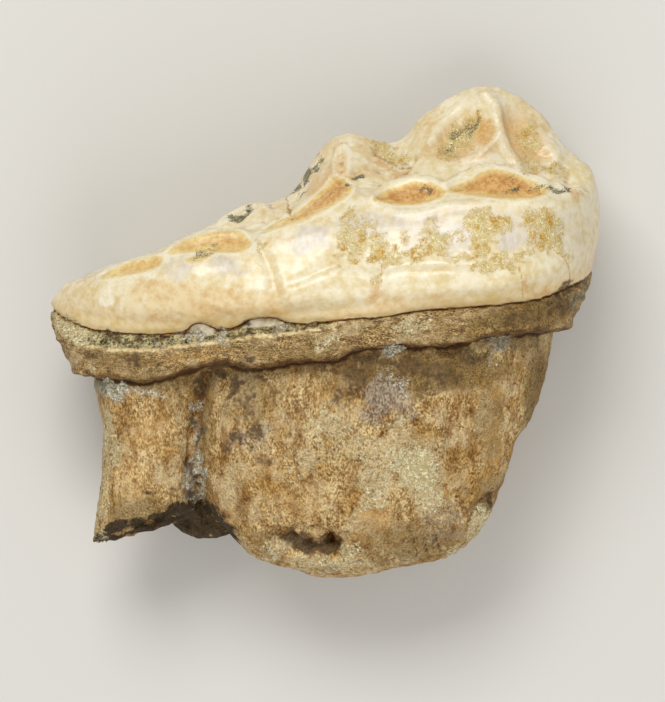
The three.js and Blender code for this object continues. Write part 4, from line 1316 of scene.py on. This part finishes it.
@dataclass(frozen=True)
class ToothForm:
    """The whole tooth's mesh: a copy of the solid, remeshed finely and sculpted region by region."""

    voxel: float = 0.27
    smoothing: int = 8
    crown_rounding: int = 40
    bay_rounding: int = 150
    around_bay: Spot = Spot(-1.3, -17.4, 3.0, 1.3)
    dip_rounds: int = 4
    swale_rounds: int = 40
    overhead: Overhead = Overhead()
    crown: Crown = Crown()
    neck: Neck = Neck()
    roots: Roots = Roots()
    weathering: Weathering = Weathering()

    def copy_of_solid(self, node: str) -> bpy.types.Object:
        """Copies a solid of the frame, merged into one closed mesh, in millimetres.

        Args:
            node: the name of the solid.

        Returns:
            A new object with its origin at the frame's.
        """
        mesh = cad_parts[node].data.copy()
        grid = bmesh.new()
        grid.from_mesh(mesh)
        bmesh.ops.scale(grid, vec=Vector((1.0, 1.0, 1.0)) / MM, verts=grid.verts)
        bmesh.ops.remove_doubles(grid, verts=grid.verts, dist=1e-4)
        for face in grid.faces:
            face.smooth = True
        grid.to_mesh(mesh)
        grid.free()
        mesh.name = "tooth_surface"
        mesh.materials.clear()
        piece = bpy.data.objects.new("tooth_surface", mesh)
        bpy.context.scene.collection.objects.link(piece)
        return piece

    def remesh(self, piece: bpy.types.Object) -> None:
        """Gives a piece even, fine faces and softens the seams where solids were joined.

        Args:
            piece: the copied solid.
        """
        remesh = piece.modifiers.new("even faces", "REMESH")
        remesh.mode = "VOXEL"
        remesh.voxel_size = self.voxel
        remesh.use_smooth_shade = True
        soften = piece.modifiers.new("soft seams", "SMOOTH")
        soften.factor = 0.5
        soften.iterations = self.smoothing
        shown = piece.evaluated_get(bpy.context.evaluated_depsgraph_get())
        piece.data = bpy.data.meshes.new_from_object(shown)
        piece.modifiers.clear()

    def build(self) -> bpy.types.Object:
        """Makes the sculpted tooth, with its marks stored on its mesh.

        Returns:
            The tooth, in metres.
        """
        piece = self.copy_of_solid("tooth")
        low, high = (np.array(corner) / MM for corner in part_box("tooth"))
        self.remesh(piece)
        skin = Surface(piece.data, self.overhead)
        skin.soften(ease(0.0, 1.5, self.crown.rise(skin)), self.crown_rounding)
        skin.soften(self.around_bay.cover(skin.seen) * skin.upward, self.bay_rounding)
        self.crown.sculpt(skin)
        self.neck.sculpt(skin, self.crown)
        self.roots.sculpt(skin, self.neck)
        self.roots.splinter(skin)
        self.weathering.sculpt(skin)
        skin.keep_inside(low, high)
        self.crown.mark(skin)
        self.neck.mark(skin, self.crown)
        self.weathering.mark(skin)
        self.roots.mark(skin)
        # How sunk each point is, which the finish reads as painted shade in hollows.
        skin.marks[Mark.DIP_SHADE] = skin.sunk(self.dip_rounds)
        skin.marks[Mark.SWALE_SHADE] = skin.sunk(self.swale_rounds)
        skin.store()
        piece.data.transform(((MM, 0, 0, 0), (0, MM, 0, 0), (0, 0, MM, 0), (0, 0, 0, 1)))
        piece.data.polygons.foreach_set("use_smooth", np.ones(len(piece.data.polygons), bool))
        LOG.info("tooth surface: %d faces", len(piece.data.polygons))
        return piece

    def dress(self, piece: bpy.types.Object) -> None:
        """Gives the tooth its one finish, laid from the roots' cementum to the last crack.

        Args:
            piece: the sculpted tooth.
        """
        coat = Coat("fossil_tooth")
        self.roots.dress(coat)
        self.neck.dress(coat)
        self.crown.dress(coat)
        self.roots.dress_breaks(coat)
        self.weathering.dress(coat)
        self.crown.dress_cracks(coat)
        piece.data.materials.append(coat.finish())
        LOG.info("finish: %d nodes, %d patterns", len(coat.tree.nodes), len(coat.patterns))


# --------------------------------------------------------------------- the stage


@dataclass(frozen=True)
class Lamp:
    """A rectangular soft lamp that points at the tooth: place and size in millimetres, power in watts."""

    name: str
    place: tuple[float, float, float]
    size: tuple[float, float]
    power: float

    def hang(self) -> None:
        """Hangs the lamp over the stage."""
        data = bpy.data.lights.new(self.name, "AREA")
        data.shape = "RECTANGLE"
        data.size, data.size_y = (side * MM for side in self.size)
        data.energy = self.power
        lamp = bpy.data.objects.new(self.name, data)
        lamp.location = Vector(self.place) * MM
        lamp.rotation_euler = (-lamp.location).to_track_quat("-Z", "Y").to_euler()
        bpy.context.scene.collection.objects.link(lamp)


@dataclass(frozen=True)
class Studio:
    """A plain pale floor, a wide soft lamp behind the cusps, a soft fill and the room's even light."""

    floor_size: float = 900.0
    floor_colour: str = "#D9D6CF"
    floor_roughness: float = 0.8
    key: Lamp = Lamp("key", (-75.0, 195.0, 300.0), (210.0, 150.0), 0.73)
    fill: Lamp = Lamp("fill", (60.0, -220.0, 250.0), (300.0, 300.0), 0.48)
    room_colour: str = "#FFFFFF"
    room_light: float = 0.42

    def floor(self) -> bpy.types.Object:
        """Makes the floor that the tooth lies on.

        Returns:
            The floor.
        """
        mesh = bpy.data.meshes.new("floor")
        grid = bmesh.new()
        bmesh.ops.create_grid(grid, x_segments=1, y_segments=1, size=self.floor_size * MM / 2)
        grid.to_mesh(mesh)
        grid.free()
        floor = bpy.data.objects.new("floor", mesh)
        paint = bpy.data.materials.new("floor_paint")
        paint.use_nodes = True
        shader = paint.node_tree.nodes["Principled BSDF"]
        shader.inputs["Base Color"].default_value = linear(self.floor_colour)
        shader.inputs["Roughness"].default_value = self.floor_roughness
        mesh.materials.append(paint)
        bpy.context.scene.collection.objects.link(floor)
        return floor

    def build(self) -> None:
        """Sets the floor, the lamps and the even light of the room."""
        self.floor()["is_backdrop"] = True
        self.key.hang()
        self.fill.hang()
        world = bpy.data.worlds.new("room")
        world.use_nodes = True
        background = world.node_tree.nodes["Background"]
        background.inputs["Color"].default_value = linear(self.room_colour)
        background.inputs["Strength"].default_value = self.room_light
        bpy.context.scene.world = world
        bpy.context.scene.view_settings.view_transform = "Standard"


def corners() -> list[list[float]]:
    """The whole object's lowest and highest corner as plain lists of numbers."""
    return [list(corner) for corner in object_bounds()]


def main() -> None:
    """Builds the tooth, its finish, the camera and the stage."""
    logging.basicConfig(level=logging.INFO, format="%(name)s: %(message)s")
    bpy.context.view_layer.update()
    form = ToothForm()
    tooth = form.build()
    form.dress(tooth)
    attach(tooth, "root")
    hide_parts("tooth")
    form.overhead.build()
    LOG.info("camera over the tooth")
    Studio().build()
    LOG.info("floor and lamps")


if __name__ == "__main__":
    main()
